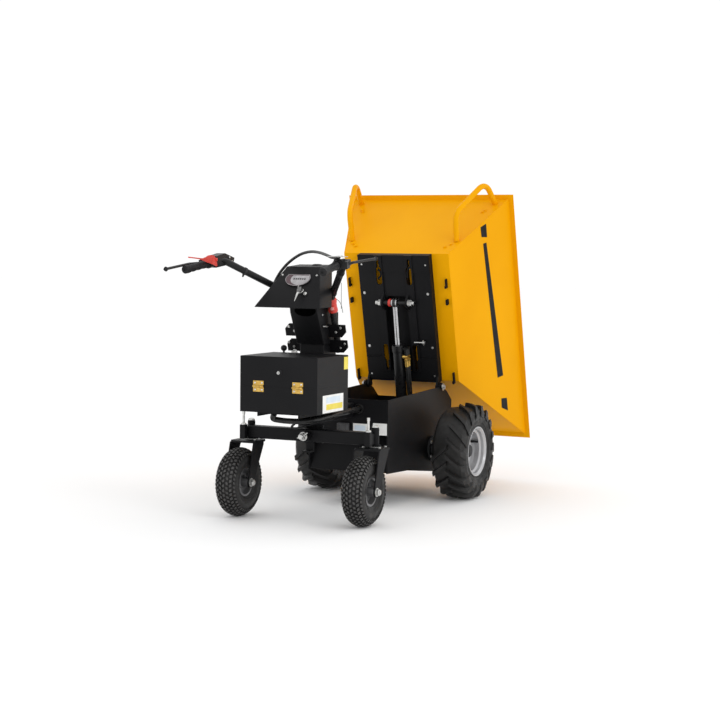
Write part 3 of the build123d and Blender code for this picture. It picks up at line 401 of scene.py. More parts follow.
coat(zinc, "lock_pins")
pivot = Vector((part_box("swing_beam")[0].x, 0, 0.322))
bm = bmesh.new()
turned(bm, pivot + Vector((-0.001, 0, 0)), (-1, 0, 0), [
    (0, 0), (0, 0.0170), (0.002, 0.0170), (0.002, 0)], 32)
turned(bm, pivot + Vector((-0.003, 0, 0)), (-1, 0, 0), [
    (0, 0.0152), (0.011, 0.0152), (0.0130, 0.0134), (0.0130, 0.0102), (0.006, 0.0102),
    (0.006, 0)], 6)
turned(bm, pivot + Vector((-0.003, 0, 0)), (-1, 0, 0), [
    (0, 0.0104), (0.022, 0.0104), (0.024, 0.009), (0.024, 0)], 24)
build("pivot_nut", bm, zinc, "chassis")


def rod(name, points, radius, finish, body):
    """Bends a round rod or wire smoothly along points."""
    curve = bpy.data.curves.new(name, "CURVE")
    curve.dimensions = "3D"
    curve.bevel_depth = radius
    curve.bevel_resolution = 4
    curve.use_fill_caps = True
    spline = curve.splines.new("NURBS")
    spline.points.add(len(points) - 1)
    for knot, point in zip(spline.points, points):
        knot.co = (*point, 1)
    spline.order_u = 3
    spline.use_endpoint_u = True
    spline.resolution_u = 8
    curve.materials.append(finish)
    piece = bpy.data.objects.new(name, curve)
    scene.collection.objects.link(piece)
    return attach(piece, body)


rod("pivot_split_pin", [pivot + Vector(p) for p in (
    (-0.021, 0.016, -0.006), (-0.021, 0.002, 0.000), (-0.021, -0.014, 0.006), (-0.021, -0.022, 0.013),
    (-0.021, -0.027, 0.016))], 0.0018, zinc, "chassis")

bm = bmesh.new()
for side in (1, -1):
    y = side * 0.267
    turned(bm, (-0.456, y, 0.352), (0, 0, 1), [
        (0, 0.0095), (0, 0.0105), (0.005, 0.0105), (0.007, 0.008), (0.007, 0.005)], 20)
    turned(bm, (-0.394, y, 0.366), (0, 0, 1), [
        (-0.002, 0.0125), (0.003, 0.0122), (0.006, 0.008), (0.007, 0)], 24)
build("kingpin_caps", bm, zinc, "chassis")

# ---- Caster forks and wheels --------------------------------------------------------------------
# Bent 5 mm plate forks turn on kingpins under the beam.  Their pneumatic tyres have a fine block
# tread, and pressed grey rims turn on a through bolt with a lock nut at each end.

grey, place = surface("wheel_grey")
shade(place,
      Base_Color=place.mottle(9, 3, (0.16, 0.16, 0.165), (0.25, 0.25, 0.255)),
      Metallic=0.75, Roughness=place.noise(90, 3).between(0.3, 0.7, 0.3, 0.45))
coat(grey, "caster_rim_left", "caster_rim_right")

# Lighter rubber for the tops of the tread blocks: a painted highlight that sets the lit block tops off from
# the darker grooves.
tread_top_light, place = surface("tread_top_painted_light", "tyre_rubber")
shade(place,
      Base_Color=place.mottle(60, 3, (0.034, 0.033, 0.032), (0.058, 0.056, 0.054)),
      Roughness=place.noise(90, 2).between(0.3, 0.7, 0.45, 0.6))

CASTER_AXLE = Vector((-0.491, 0, 0.1335))
CASTER_R = 0.1335
TREAD_DEPTH = 0.0060
BLOCKS_ROUND = 44
# Rows of blocks: angle across the crown in degrees, width, length round the tyre, half-step shift
ROWS = ((-58, 0.011, 0.0100, 1), (-40, 0.0115, 0.0130, 0), (-24, 0.0098, 0.0112, 1),
        (-8, 0.0100, 0.0120, 0), (8, 0.0100, 0.0120, 1), (24, 0.0098, 0.0112, 0),
        (40, 0.0115, 0.0130, 1), (58, 0.011, 0.0100, 0))
CROWN_HALF = 0.047              # radius of the tyre's rounded section
for name, side in (("left", 1), ("right", -1)):
    wheel = CASTER_AXLE + Vector((0, side * 0.267, 0))
    bm = bmesh.new()
    section_middle = CASTER_R - TREAD_DEPTH - CROWN_HALF + 0.004
    arc = []
    for step in range(-14, 15):
        angle = radians(step * 10)
        reach = (CROWN_HALF - 0.0045) * sin(angle)
        height = section_middle + (CROWN_HALF - 0.004) * cos(angle)
        arc.append((max(-0.0425, min(0.0425, reach)), max(0.0515, height)))
    turned(bm, wheel, (0, 1, 0), [*arc, (0.027, 0.0505), (-0.027, 0.0505), arc[0]], 96)
    bmesh.ops.remove_doubles(bm, verts=bm.verts, dist=1e-6)
    for radius, reach in ((0.068, 0.0395), (0.076, 0.0418)):
        for hand in (1, -1):
            turned(bm, wheel + Vector((0, hand * reach, 0)), (0, hand, 0), [
                (-0.003, radius - 0.002), (0.0008, radius - 0.0008), (0.0008, radius + 0.0008),
                (-0.003, radius + 0.002)], 72)
    for slant, width, length, shift in ROWS:
        for index in range(BLOCKS_ROUND):
            turn = tau * (index + shift / 2) / BLOCKS_ROUND
            lean = radians(slant)
            foot_r = section_middle + (CROWN_HALF - 0.006) * cos(lean)
            foot = Vector((0, (CROWN_HALF - 0.0065) * sin(lean), foot_r))
            out = Vector((0, sin(lean), cos(lean)))
            sideways = Vector((0, cos(lean), -sin(lean)))
            forward = Vector((1, 0, 0))
            spin = Matrix.Rotation(turn, 3, "Y")
            top_shrink = 0.82
            rings = []
            for lift, shrink in ((0, 1.0), (TREAD_DEPTH + 0.0015, top_shrink)):
                ring = []
                for across_sign, along_sign in ((-1, -1), (1, -1), (1, 1), (-1, 1)):
                    skew = 0.0015 * across_sign * (1 if shift else -1)
                    point = foot + out * lift + sideways * (across_sign * width / 2 * shrink)
                    point += forward * (along_sign * length / 2 * shrink + skew)
                    ring.append(bm.verts.new(wheel + spin @ point))
                rings.append(ring)
            low, high = rings
            # The block's top face takes the second finish, the painted highlight.
            bm.faces.new(high).material_index = 1
            for a in range(4):
                bm.faces.new((low[a], low[(a + 1) % 4], high[(a + 1) % 4], high[a]))
    tyre = build(f"block_tyre_{name}", bm, rubber, f"caster_wheel_{name}")
    tyre.data.materials.append(tread_top_light)
    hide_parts(f"caster_tyre_{name}")

    bm = bmesh.new()
    for hand in (1, -1):
        for index in range(4):
            angle = tau * (index + 0.5) / 4
            bolt(bm, wheel + Vector((0.031 * cos(angle), hand * 0.010, 0.031 * sin(angle))),
                 (0, hand, 0), 0.009)
        turned(bm, wheel + Vector((0, hand * 0.010, 0)), (0, hand, 0), [
            (0, 0.0235), (0.006, 0.0225), (0.008, 0.019), (0.030, 0.0175), (0.0375, 0.0165)], 32)
    build(f"caster_hub_{name}", bm, grey, f"caster_wheel_{name}")

    bm = bmesh.new()
    for hand in (1, -1):
        face = wheel + Vector((0, hand * 0.0535, 0))
        turned(bm, face, (0, hand, 0), [(0, 0), (0, 0.0165), (0.002, 0.0165), (0.002, 0)], 28)
        turned(bm, face + Vector((0, hand * 0.002, 0)), (0, hand, 0), [
            (0, 0.0135), (0.008, 0.0135), (0.010, 0.0115), (0.0125, 0.0105), (0.0125, 0.0085),
            (0.010, 0.0083)], 6)
        turned(bm, face + Vector((0, hand * 0.002, 0)), (0, hand, 0), [
            (0, 0.0083), (0.0135, 0.0083), (0.0142, 0.0070), (0.0142, 0)], 20)
    build(f"caster_nuts_{name}", bm, zinc, f"fork_{name}")
    bm = bmesh.new()
    for x in (-0.420, -0.368):
        bolt(bm, (x - 0.008, wheel.y - 0.034, 0.290), (0, 0, 1), 0.009)
        bolt(bm, (x - 0.008, wheel.y + 0.034, 0.290), (0, 0, 1), 0.009)
    turned(bm, (-0.394, wheel.y, 0.2905), (0, 0, 1), [(0, 0.0245), (0.002, 0.0245), (0.002, 0.021)], 28)
    build(f"fork_bolts_{name}", bm, zinc, f"fork_{name}")

# ---- Platform and battery box -------------------------------------------------------------------
# A folded plate on the neck carries the battery box, bent from sheet and powder-coated black.  Its
# lid turns on two brass hinges, with a cam lock at the rear and an over-centre hook at the front.

brass, place = surface("brass")
shade(place,
      Base_Color=place.mottle(80, 3, (0.55, 0.33, 0.07), (0.70, 0.46, 0.12)),
      Metallic=0.85, Roughness=place.noise(250, 3).between(0.3, 0.7, 0.28, 0.42))
coat(brass, "box_hinge_leaves", "lid_hinge_leaves")
coat(zinc, "lid_lock", "lid_latch")
coat(plastic, "valve_lever")

box_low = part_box("battery_box")[0]
lid_low, lid_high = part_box("battery_lid")
leaf_x = box_low.x - 0.0015
for body, z, name in (("chassis", 0.5115, "box"), ("lid", 0.5365, "lid")):
    bm = bmesh.new()
    for y in (-0.082, 0.082):
        for step in (-0.0145, 0.0145):
            turned(bm, (leaf_x, y + step, z), (-1, 0, 0), [
                (0, 0.0040), (0.0006, 0.0040), (0.0022, 0.0026), (0.0026, 0)], 20)
    build(f"{name}_hinge_screws", bm, zinc, body)

lock = Vector((lid_low.x, -0.005, 0.577))
bm = bmesh.new()
turned(bm, lock, (-1, 0, 0), [(0, 0.0105), (0.0015, 0.0105), (0.0035, 0.0085), (0.0035, 0.0062)], 28)
build("lock_bezel", bm, plastic, "lid")
bm = bmesh.new()
block(bm, lock + Vector((-0.0090, 0, 0)), (0.0012, 0.0015, 0.0065), 0.0003)
build("lock_slot", bm, plastic, "lid")

latch = Vector((lid_high.x + 0.006, 0.071, lid_high.z))
rod("latch_bow", [latch + Vector(p) for p in (
    (0.001, -0.008, -0.020), (0.002, -0.008, 0.002), (0.000, -0.006, 0.010), (-0.002, 0.000, 0.012),
    (0.000, 0.006, 0.010), (0.002, 0.008, 0.002), (0.001, 0.008, -0.020))], 0.0022, zinc, "lid")

side_face = box_low.y
bm = bmesh.new()
slab(bm, [(-0.627, side_face, 0.4295), (-0.456, side_face, 0.4295), (-0.456, side_face, 0.4950),
          (-0.627, side_face, 0.4950)], (0, -LABEL, 0))
build("box_label_white", bm, paper, "chassis")
lemon = film("yellow_film", "yellow_paint", (0.78, 0.62, 0.02), (0.86, 0.70, 0.05))
bm = bmesh.new()
slab(bm, [(-0.452, side_face, 0.582), (-0.418, side_face, 0.582), (-0.418, side_face, 0.629),
          (-0.452, side_face, 0.629)], (0, -LABEL, 0))
build("lid_label_yellow", bm, lemon, "lid")
for name, low, finish, left, right in (
        ("yellow", 0.440, lemon, -0.598, -0.464), ("blue", 0.466, sky, -0.598, -0.484)):
    bm = bmesh.new()
    slab(bm, [(left, side_face - LABEL, low), (right, side_face - LABEL, low),
              (right, side_face - LABEL, low + 0.021), (left, side_face - LABEL, low + 0.021)],
         (0, -LABEL, 0))
    build(f"box_band_{name}", bm, finish, "chassis")

bm = bmesh.new()
for x, y in ((-0.601, 0.0), (-0.571, -0.046), (-0.571, 0.046), (-0.420, -0.060), (-0.420, 0.060)):
    bolt(bm, (x, y, 0.422), (0, 0, -1), 0.010)
build("platform_bolts", bm, zinc, "chassis")

# ---- Column -------------------------------------------------------------------------------------
# The steering column is a box of folded plate, and a leaning cover of sheet steel rises from it to
# the console, with a mouth for the wiring.  Notched tabs take the bolts of the handlebar's legs.

bm = bmesh.new()
leg_out = Vector((-0.954, 0, -0.300))
for side in (1, -1):
    for y, z in ((0.111, 0.734), (0.089, 0.717), (0.120, 0.673), (0.100, 0.656)):
        x = -0.348 + (z - 0.640) * -0.3145 - 0.0058
        bolt(bm, (x, side * y, z), leg_out, 0.008)
build("tab_bolts", bm, zinc, "chassis")
COVER_HALF = 0.058
COVER_FRONT = -0.2935
COVER_LOW = 0.670
COVER_TOP = 0.900
bm = bmesh.new()
outline = [(-0.415, COVER_LOW), (-0.476, 0.792), (-0.494, COVER_TOP), (-0.392, COVER_TOP),
           (-0.352, 0.800), (COVER_FRONT, 0.7905), (COVER_FRONT, COVER_LOW)]
slab(bm, [(x, COVER_HALF, z) for x, z in outline], (0, -2 * COVER_HALF, 0))
bmesh.ops.bevel(bm, geom=bm.edges[:], offset=0.003, segments=3, affect="EDGES", profile=0.5)
build("column_cover", bm, black, "chassis")
# The mouth is a near-black disc on the cover: painted shade standing in for the shaded inside of the
# opening.
mouth_shade, place = surface("painted_mouth_shade", "black_plastic")
shade(place,
      Base_Color=place.mottle(9, 2, (0.0008, 0.0008, 0.0008), (0.0020, 0.0020, 0.0020)),
      Roughness=0.9, Specular_IOR_Level=0.0)
bm = bmesh.new()
slab(bm, [(-0.4785, -0.008 + 0.045 * cos(tau * step / 36), 0.801 + 0.022 * sin(tau * step / 36))
          for step in range(36)], (0.010, 0, 0))
build("column_mouth_shade", bm, mouth_shade, "chassis")

bm = bmesh.new()
for x, z, r in ((-0.424, 0.8175, 0.0042), (-0.432, 0.784, 0.0038), (-0.3595, 0.776, 0.0035)):
    turned(bm, (x, -COVER_HALF, z), (0, -1, 0), [
        (0, r), (0.002, r), (0.003, r * 0.6), (0.003, 0)], 18)
build("column_screws", bm, zinc, "chassis")
rod("stop_pin", [(x, -COVER_HALF - stand, z) for x, stand, z in (
    (-0.431, 0.002, 0.7405), (-0.418, 0.006, 0.7395), (-0.402, 0.006, 0.7390),
    (-0.389, 0.001, 0.7385))], 0.0028, zinc, "chassis")

# ---- Console ------------------------------------------------------------------------------------
# The control console is a shallow housing of folded sheet that leans back on the column's cover.
# Its panel carries the battery gauge, the key switch with its key, and a small knob.

PANEL = Vector((-0.615, 0, 0.814))
RIDGE = Vector((-0.480, 0, 0.966))
PANEL_UP = (RIDGE - PANEL).normalized()
PANEL_OUT = Vector((-PANEL_UP.z, 0, PANEL_UP.x))
PANEL_HALVES = (0.137, 0.070)   # half widths of the panel at its lower edge and at its ridge


def on_panel(across, up, out=0.0):
    """Place on the console's panel, from the middle of its lower edge; across runs to the right."""
    return PANEL + Vector((0, -across, 0)) + PANEL_UP * up + PANEL_OUT * out


panel_turn = Matrix((-Vector((0, 1, 0)), PANEL_UP, PANEL_OUT)).transposed().to_4x4()

HOUSING_DEPTH = Vector((0.105, 0, 0.008))
RETURN_LIP = Vector((0.024, 0, 0.002))
bm = bmesh.new()
corners = [middle + Vector((0, half * hand, 0)) for middle, half, hand in (
    (PANEL, PANEL_HALVES[0], 1), (PANEL, PANEL_HALVES[0], -1),
    (RIDGE, PANEL_HALVES[1], -1), (RIDGE, PANEL_HALVES[1], 1))]
under = [corners[index] + RETURN_LIP for index in (1, 0)]
behind = [corner + HOUSING_DEPTH for corner in corners]
behind[0].z = behind[1].z = under[0].z
verts = [bm.verts.new(point) for point in (*corners, *under, *behind)]
for ring in ((0, 1, 2, 3), (0, 5, 4, 1), (5, 6, 7, 4), (1, 4, 7, 8, 2), (0, 3, 9, 6, 5),
             (3, 2, 8, 9), (6, 9, 8, 7)):
    bm.faces.new([verts[index] for index in ring])
bmesh.ops.bevel(bm, geom=bm.edges[:], offset=0.0025, segments=3, affect="EDGES", profile=0.5)
console = build("console_housing", bm, black, "chassis")
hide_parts("console", "gauge", "key_switch")

dial, place = surface("gauge_face", "grey_plastic")
shade(place, Base_Color=place.mottle(50, 2, (0.30, 0.29, 0.30), (0.40, 0.39, 0.40)),
      Roughness=0.18, Coat_Weight=0.6)
# A dark red-black layer behind the dial: painted shade where the bezel shades the dial's left side.
gauge_recess_shade, place = surface("gauge_painted_shade", "grey_plastic")
shade(place,
      Base_Color=place.mottle(50, 2, (0.055, 0.022, 0.030), (0.075, 0.032, 0.042)),
      Roughness=0.25, Coat_Weight=0.4)


def dial_edge(across, up, half, top, drop, out):
    """Outline of the gauge's D: flat at the top, round below."""
    corners = [on_panel(across + half * hand, up + top, out) for hand in (-0.86, 0.86)]
    count = 22
    for step in range(count + 1):
        angle = radians(12) - radians(204) * step / count
        corners.append(on_panel(across + half * cos(angle), up + drop * sin(angle) + top * 0.35, out))
    return corners


GAUGE_ACROSS = 0.002
GAUGE_UP = 0.129
SCREWS_UP = 0.161
SWITCH = (0.031, 0.083)         # across and up the panel
KEY_ACROSS = 0.041
bm = bmesh.new()
slab(bm, dial_edge(GAUGE_ACROSS, GAUGE_UP, 0.0500, 0.0290, 0.0345, 0.0052), PANEL_OUT * 0.0012)
build("gauge_back", bm, gauge_recess_shade, "chassis")
bm = bmesh.new()
slab(bm, dial_edge(GAUGE_ACROSS, GAUGE_UP, 0.0505, 0.0295, 0.0350, 0.0), PANEL_OUT * 0.0052)
turned(bm, on_panel(*SWITCH), PANEL_OUT, [
    (0, 0), (0, 0.0110), (0.0160, 0.0105), (0.0190, 0.0085), (0.0190, 0)], 28)
build("gauge_body", bm, plastic, "chassis")
bm = bmesh.new()
# The dial sits to the right of the dark layer, so the painted shade shows as a crescent on its left.
slab(bm, dial_edge(GAUGE_ACROSS + 0.010, GAUGE_UP - 0.001, 0.0380, 0.0250, 0.0300, 0.0064),
     PANEL_OUT * 0.0010)
build("gauge_dial", bm, dial, "chassis")
bm = bmesh.new()
for index in range(6):
    block(bm, on_panel(-0.012 + index * 0.009, GAUGE_UP + 0.007, 0.0076), (0.0056, 0.0070, 0.0004),
          0.0001, panel_turn)
build("gauge_ticks", bm, plastic, "chassis")

bm = bmesh.new()
edge = dial_edge(GAUGE_ACROSS, GAUGE_UP, 0.0515, 0.0300, 0.0360, 0.0052)
inner = dial_edge(GAUGE_ACROSS, GAUGE_UP, 0.0488, 0.0275, 0.0332, 0.0052)
rings = [[bm.verts.new(p + PANEL_OUT * rise) for p in line]
         for line, rise in ((edge, 0), (edge, 0.0012), (inner, 0.0024), (inner, 0))]
for low, high in zip(rings, rings[1:]):
    for index in range(len(low)):
        after = (index + 1) % len(low)
        bm.faces.new((low[index], low[after], high[after], high[index]))
rim, place = surface("gauge_rim", "grey_plastic")
shade(place, Base_Color=place.mottle(50, 2, (0.20, 0.18, 0.19), (0.30, 0.28, 0.29)),
      Roughness=0.22, Coat_Weight=0.5)
build("gauge_bezel", bm, rim, "chassis")

bm = bmesh.new()
for screw_across in (-0.0725, 0.0710):
    turned(bm, on_panel(screw_across, SCREWS_UP), PANEL_OUT, [
        (0, 0.0042), (0.001, 0.0042), (0.0028, 0.0025), (0.003, 0)], 20)
turned(bm, on_panel(*SWITCH), PANEL_OUT, [
    (0, 0.0125), (0.003, 0.0125), (0.0045, 0.0110), (0.0045, 0.0082)], 28)
turned(bm, on_panel(0.057, 0.067), PANEL_OUT, [
    (0, 0.0074), (0.0062, 0.0074), (0.0072, 0.0055), (0.0072, 0)], 24)
build("panel_fixings", bm, zinc, "chassis")

bm = bmesh.new()
block(bm, on_panel(*SWITCH, 0.019), (0.0022, 0.009, 0.016), 0.0006, panel_turn)
build("key_blade_in", bm, zinc, "chassis")
grey_bow, place = surface("key_bow", "grey_plastic")
shade(place, Base_Color=place.mottle(60, 2, (0.09, 0.09, 0.09), (0.15, 0.15, 0.15)),
      Roughness=0.35)
bm = bmesh.new()
bow = []
for step in range(20):
    angle = tau * step / 20
    bow.append(on_panel(KEY_ACROSS + 0.0085 * cos(angle), SWITCH[1] - 0.016 + 0.013 * sin(angle), 0.026))
slab(bm, bow, PANEL_OUT * 0.0030)
build("key_bow", bm, grey_bow, "chassis")
bm = bmesh.new()
blade = [on_panel(KEY_ACROSS + a, SWITCH[1] - 0.026 + b, 0.027) for a, b in (
    (-0.0046, 0), (-0.0042, -0.020), (-0.0026, -0.023), (-0.0036, -0.027), (-0.0022, -0.032),
    (-0.0010, -0.046), (0.0014, -0.044), (0.0034, -0.018), (0.0044, 0))]
slab(bm, blade, PANEL_OUT * 0.0014)
build("key_blade", bm, zinc, "chassis")

bm = bmesh.new()
turned(bm, (-0.405, -0.020, 0.968), (0, 0, 1), [
    (0, 0.021), (0.004, 0.021), (0.007, 0.017), (0.0085, 0.009), (0.0085, 0)], 32)
build("console_cap", bm, plastic, "chassis")

# ---- Handlebars, grips and controls -------------------------------------------------------------
# Bent 26 mm tubes carry moulded grips with finger bumps.  The left hand holds the drive lever and
# its red thumb lock; the right hand has the brake lever, in a cast block under a steel plate.

tube, place = surface("tube_paint", "black_paint")
shade(place,
      Base_Color=place.mottle(3, 3, (0.0085, 0.0085, 0.009), (0.013, 0.013, 0.014)),
      Roughness=place.noise(60, 3).between(0.3, 0.7, 0.27, 0.30), Specular_IOR_Level=0.25)
coat(tube, "handlebar_left", "handlebar_right")

grip_rubber, place = surface("grip_rubber")
shade(place,
      Base_Color=place.mottle(30, 2, (0.013, 0.013, 0.014), (0.020, 0.020, 0.021)),
      Roughness=place.noise(200, 2).between(0.3, 0.7, 0.45, 0.6), Specular_IOR_Level=0.15)

BAR_BEND = Vector((-0.648, 0.257, 0.990))
BAR_END = Vector((-0.872, 0.280, 0.952))
GRIP_LENGTH = 0.128
for name, side in (("left", 1), ("right", -1)):
    flip = Vector((1, side, 1))
    end = BAR_END * flip
    along = ((BAR_END - BAR_BEND) * flip).normalized()
    upward = (Vector((0, 0, 1)) - along * along.z).normalized()
    sideways = along.cross(upward)
    bm = bmesh.new()
    rings = []
    count = 64
    for step in range(count + 1):
        s = -GRIP_LENGTH + GRIP_LENGTH * step / count
        t = step / count
        base_r = 0.0152 - 0.0010 * sin(tau * t * 0.5)
        ring = []
        for index in range(32):
            angle = tau * index / 32
            down = max(0.0, -sin(angle))
            bump = 0.0014 * down * (0.5 - 0.5 * cos(tau * 4 * t)) * (0.1 < t < 0.95)
            ribs = 0.0006 if (step % 4 < 2 and -0.5 < sin(angle) < 0.8 and 0.08 < t < 0.92) else 0.0
            r = min(0.0162, base_r + bump - 0.0012 * down + ribs)
            if step < 3:
                r = 0.0162 - 0.0006 * step
            ring.append(bm.verts.new(end + along * s + (sideways * cos(angle) + upward * sin(angle)) * r))
        rings.append(ring)
    for low, high in zip(rings, rings[1:]):
        for index in range(32):
            after = (index + 1) % 32
            bm.faces.new((low[index], low[after], high[after], high[index]))
    edge = rings[-1]
    before = 1.0
    for scale, push in ((0.86, 0.0020), (0.6, 0.0035), (0.32, 0.0040), (0.24, 0.0015)):
        ring = []
        for vert in edge:
            away = vert.co - end
            radial = away - along * away.dot(along)
            ring.append(bm.verts.new(end + along * push + radial * (scale / before)))
        for index in range(32):
            after = (index + 1) % 32
            bm.faces.new((edge[index], edge[after], ring[after], ring[index]))
        edge = ring
        before = scale
    bm.faces.new(edge)
    bm.faces.new(list(reversed(rings[0])))
    grip = build(f"moulded_grip_{name}", bm, grip_rubber, "chassis")
    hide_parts(f"grip_{name}")

red, place = surface("red_plastic", "black_plastic")
shade(place,
      Base_Color=place.mottle(25, 2, (0.56, 0.035, 0.025), (0.68, 0.055, 0.04)),
      Roughness=place.noise(200, 2).between(0.3, 0.7, 0.3, 0.42))
coat(plastic, "control_left")
coat(plastic, "control_right")
THUMB_Y = 0.243
bm = bmesh.new()
slab(bm, [(x, THUMB_Y, z) for x, z in (
    (-0.8240, 0.9905), (-0.8000, 0.9960), (-0.7850, 0.9990), (-0.7700, 1.0045), (-0.7480, 1.0070),
    (-0.7270, 1.0050), (-0.7160, 0.9960), (-0.7060, 0.9780), (-0.7040, 0.9660), (-0.7100, 0.9650),
    (-0.7300, 0.9710), (-0.7550, 0.9760), (-0.7900, 0.9830))], (0, 0.0035, 0))
turned(bm, (-0.712, THUMB_Y, 0.990), (0, -1, 0), [
    (0, 0.006), (0.003, 0.006), (0.004, 0.004), (0.004, 0)], 20)
build("thumb_lock", bm, red, "chassis")
rod("thumb_lock_stem", [(-0.8100, THUMB_Y + 0.0018, 0.9925), (-0.8500, THUMB_Y + 0.0018, 0.9950),
                        (-0.9060, THUMB_Y + 0.0018, 0.9985)], 0.0024, red, "chassis")

housing_y = 0.2645 - 0.018
bm = bmesh.new()
for x, z in ((-0.608, 0.998), (-0.629, 0.976)):
    for screw_y, way in ((housing_y, -1), (housing_y + 0.036, 1)):
        turned(bm, (x, screw_y, z), (0, way, 0), [
            (0, 0.0046), (0.0015, 0.0046), (0.0030, 0.0028), (0.0030, 0)], 20)
turned(bm, (-0.590, housing_y, 0.985), (0, -1, 0), [(0, 0.003), (0.001, 0.003), (0.0015, 0)], 16)
build("control_screws", bm, zinc, "chassis")

bm = bmesh.new()
block(bm, (-0.683, -0.2645, 0.9860), (0.052, 0.042, 0.024), 0.003)
block(bm, (-0.716, -0.2645, 0.9880), (0.018, 0.034, 0.020), 0.003)
build("brake_block", bm, plastic, "chassis")
bm = bmesh.new()
block(bm, (-0.7238, -0.2645, 1.0062), (0.0855, 0.041, 0.0025), 0.001)
turned(bm, (-0.690, -0.2645, 1.0070), (0, 0, 1), [
    (0, 0.005), (0.003, 0.005), (0.0035, 0.004), (0.0035, 0)], 6)
build("brake_plate", bm, zinc, "chassis")

clip, place = surface("cable_clip", "black_plastic")
shade(place,
      Base_Color=place.mottle(25, 2, (0.010, 0.010, 0.011), (0.016, 0.016, 0.017)),
      Roughness=0.5)
for name, side in (("left", 1), ("right", -1)):
    bm = bmesh.new()
    for x, z in ((-0.570, 0.9465), (-0.429, 0.8675)):
        along = Vector((-0.250, side * 0.179, 0.140)).normalized()
        centre = Vector((-0.398, side * 0.078, 0.850))
        s = (x - centre.x) / along.x
        middle = centre + along * s
        turned(bm, middle - along * 0.004, along, [
            (0, 0.0128), (0, 0.0150), (0.008, 0.0150), (0.008, 0.0128)], 28)
        below = (Vector((0, 0, -1)) + along * along.z).normalized()
        turned(bm, middle + below * 0.014, below, [
            (0, 0.0042), (0.008, 0.0034), (0.010, 0.0018), (0.010, 0)], 12)
    build(f"cable_clips_{name}", bm, clip, "chassis")

bm = bmesh.new()
leg = Vector((-0.332, -0.080, 0.640))
leg_dir = (Vector((-0.398, -0.078, 0.850)) - leg).normalized()
clamp_at = leg + leg_dir * ((0.794 - leg.z) / leg_dir.z)
turned(bm, clamp_at, leg_dir, [
    (0, 0.0128), (0, 0.0165), (0.004, 0.0185), (0.014, 0.0185), (0.020, 0.0170), (0.034, 0.0170),
    (0.042, 0.0190), (0.052, 0.0185), (0.056, 0.0160), (0.056, 0.0128)], 32)
ear = clamp_at + leg_dir * 0.014 + Vector((0, 0, 0))
turned(bm, ear + Vector((-0.010, -0.004, 0)), (-1, -0.35, 0), [
    (0, 0.0105), (0.014, 0.0095), (0.017, 0.0075), (0.018, 0)], 20)
build("lever_clamp", bm, red, "chassis")
pearl, place = surface("pearl_plastic", "black_plastic")
shade(place, Base_Color=place.mottle(40, 2, (0.62, 0.22, 0.20), (0.78, 0.38, 0.35)),
      Roughness=0.3, Coat_Weight=0.4)
bm = bmesh.new()
turned(bm, ear + Vector((-0.026, -0.010, 0)), (-1, -0.35, 0), [
    (0, 0.0068), (0.003, 0.0068), (0.006, 0.0048), (0.0068, 0)], 20)
build("lever_clamp_button", bm, pearl, "chassis")
rod("clamp_wire", [clamp_at + Vector(p) for p in (
    (-0.004, -0.014, 0.050), (0.020, -0.016, 0.042), (0.046, -0.014, 0.020), (0.058, -0.012, -0.004))],
    0.0010, clip, "chassis")
rod("drop_wire", [(-0.3163, -0.080, 0.905), (-0.3160, -0.080, 0.860), (-0.3150, -0.080, 0.8039)],
    0.0009, clip, "chassis")

# ---- Cable and hoses ----------------------------------------------------------------------------
# Rubber-covered throttle cable and hydraulic hoses, left whole from the frame.  A grommet lines
# the chassis' hole for them, and a loop of cable hangs beneath the platform.

hose, place = surface("hose_rubber")
shade(place,
      Base_Color=place.mottle(30, 2, (0.010, 0.010, 0.010), (0.018, 0.018, 0.018)),
      Roughness=place.noise(150, 2).between(0.3, 0.7, 0.25, 0.36), Specular_IOR_Level=0.3)
coat(hose, "throttle_cable", "hose_bundle", "cylinder_hoses")

bm = bmesh.new()
turned(bm, (rear_x, -0.048, 0.398), (-1, 0, 0), [
    (-0.006, 0.0120), (-0.006, 0.0165), (0.001, 0.0205), (0.004, 0.0190), (0.0045, 0.0150),
    (0.003, 0.0125), (-0.006, 0.0120)], 40)
build("hose_grommet", bm, hose, "chassis")
rod("cable_loop", [(-0.440, 0.006, 0.420), (-0.440, 0.030, 0.385), (-0.441, 0.057, 0.361),
                   (-0.441, 0.066, 0.352), (-0.440, 0.060, 0.346), (-0.438, 0.030, 0.349),
                   (-0.436, 0.004, 0.356)], 0.0048, hose, "chassis")
ribbed, place = surface("ribbed_connector", "grey_plastic")
shade(place,
      Base_Color=place.mottle(40, 2, (0.055, 0.055, 0.057), (0.085, 0.085, 0.088)),
      Roughness=0.5)
bm = bmesh.new()
block(bm, (rear_x - 0.012, 0.0155, 0.3245), (0.024, 0.047, 0.030), 0.003)
for index in range(6):
    block(bm, (rear_x - 0.0245, -0.004 + index * 0.0078, 0.3245), (0.003, 0.0035, 0.028), 0.0006)
build("cable_connector", bm, ribbed, "chassis")

# ---- Tray ---------------------------------------------------------------------------------------
# A welded tray of 3 mm steel plate with rolled lips, powder-coated yellow.  Its grab loops are
# bent tube, and painted bolt heads and weld beads show at its corners.

yellow, place = surface("yellow_paint")
shade(place,
      Base_Color=place.mottle(2.5, 3, (0.80, 0.355, 0.0), (0.84, 0.385, 0.001)),
      Roughness=place.noise(500, 3).between(0.3, 0.7, 0.38, 0.46),
      Normal=place.bump(place.noise(600, 2), 0.0003, 0.2), Specular_IOR_Level=0.05)
coat(yellow, "tray_floor", "tray_side_left", "tray_side_right", "tray_front", "tray_rear",
     "grab_loops")

TRAY = Vector((0.4971, 0, 0.4787))
ALONG = Vector((-0.2419, 0, 0.9703))
DEEP = Vector((0.9703, 0, 0.2419))
FLOOR_LENGTH = 0.556
FLOOR_HALF = 0.2415
RIM = 0.408                     # height of the rim above the floor
RIM_HALF = 0.3715


def on_tray(u, v, y):
    """Place on the tray: u along its floor from the hinge end, v above the floor, y to the left."""
    return TRAY + ALONG * u + DEEP * v + Vector((0, y, 0))


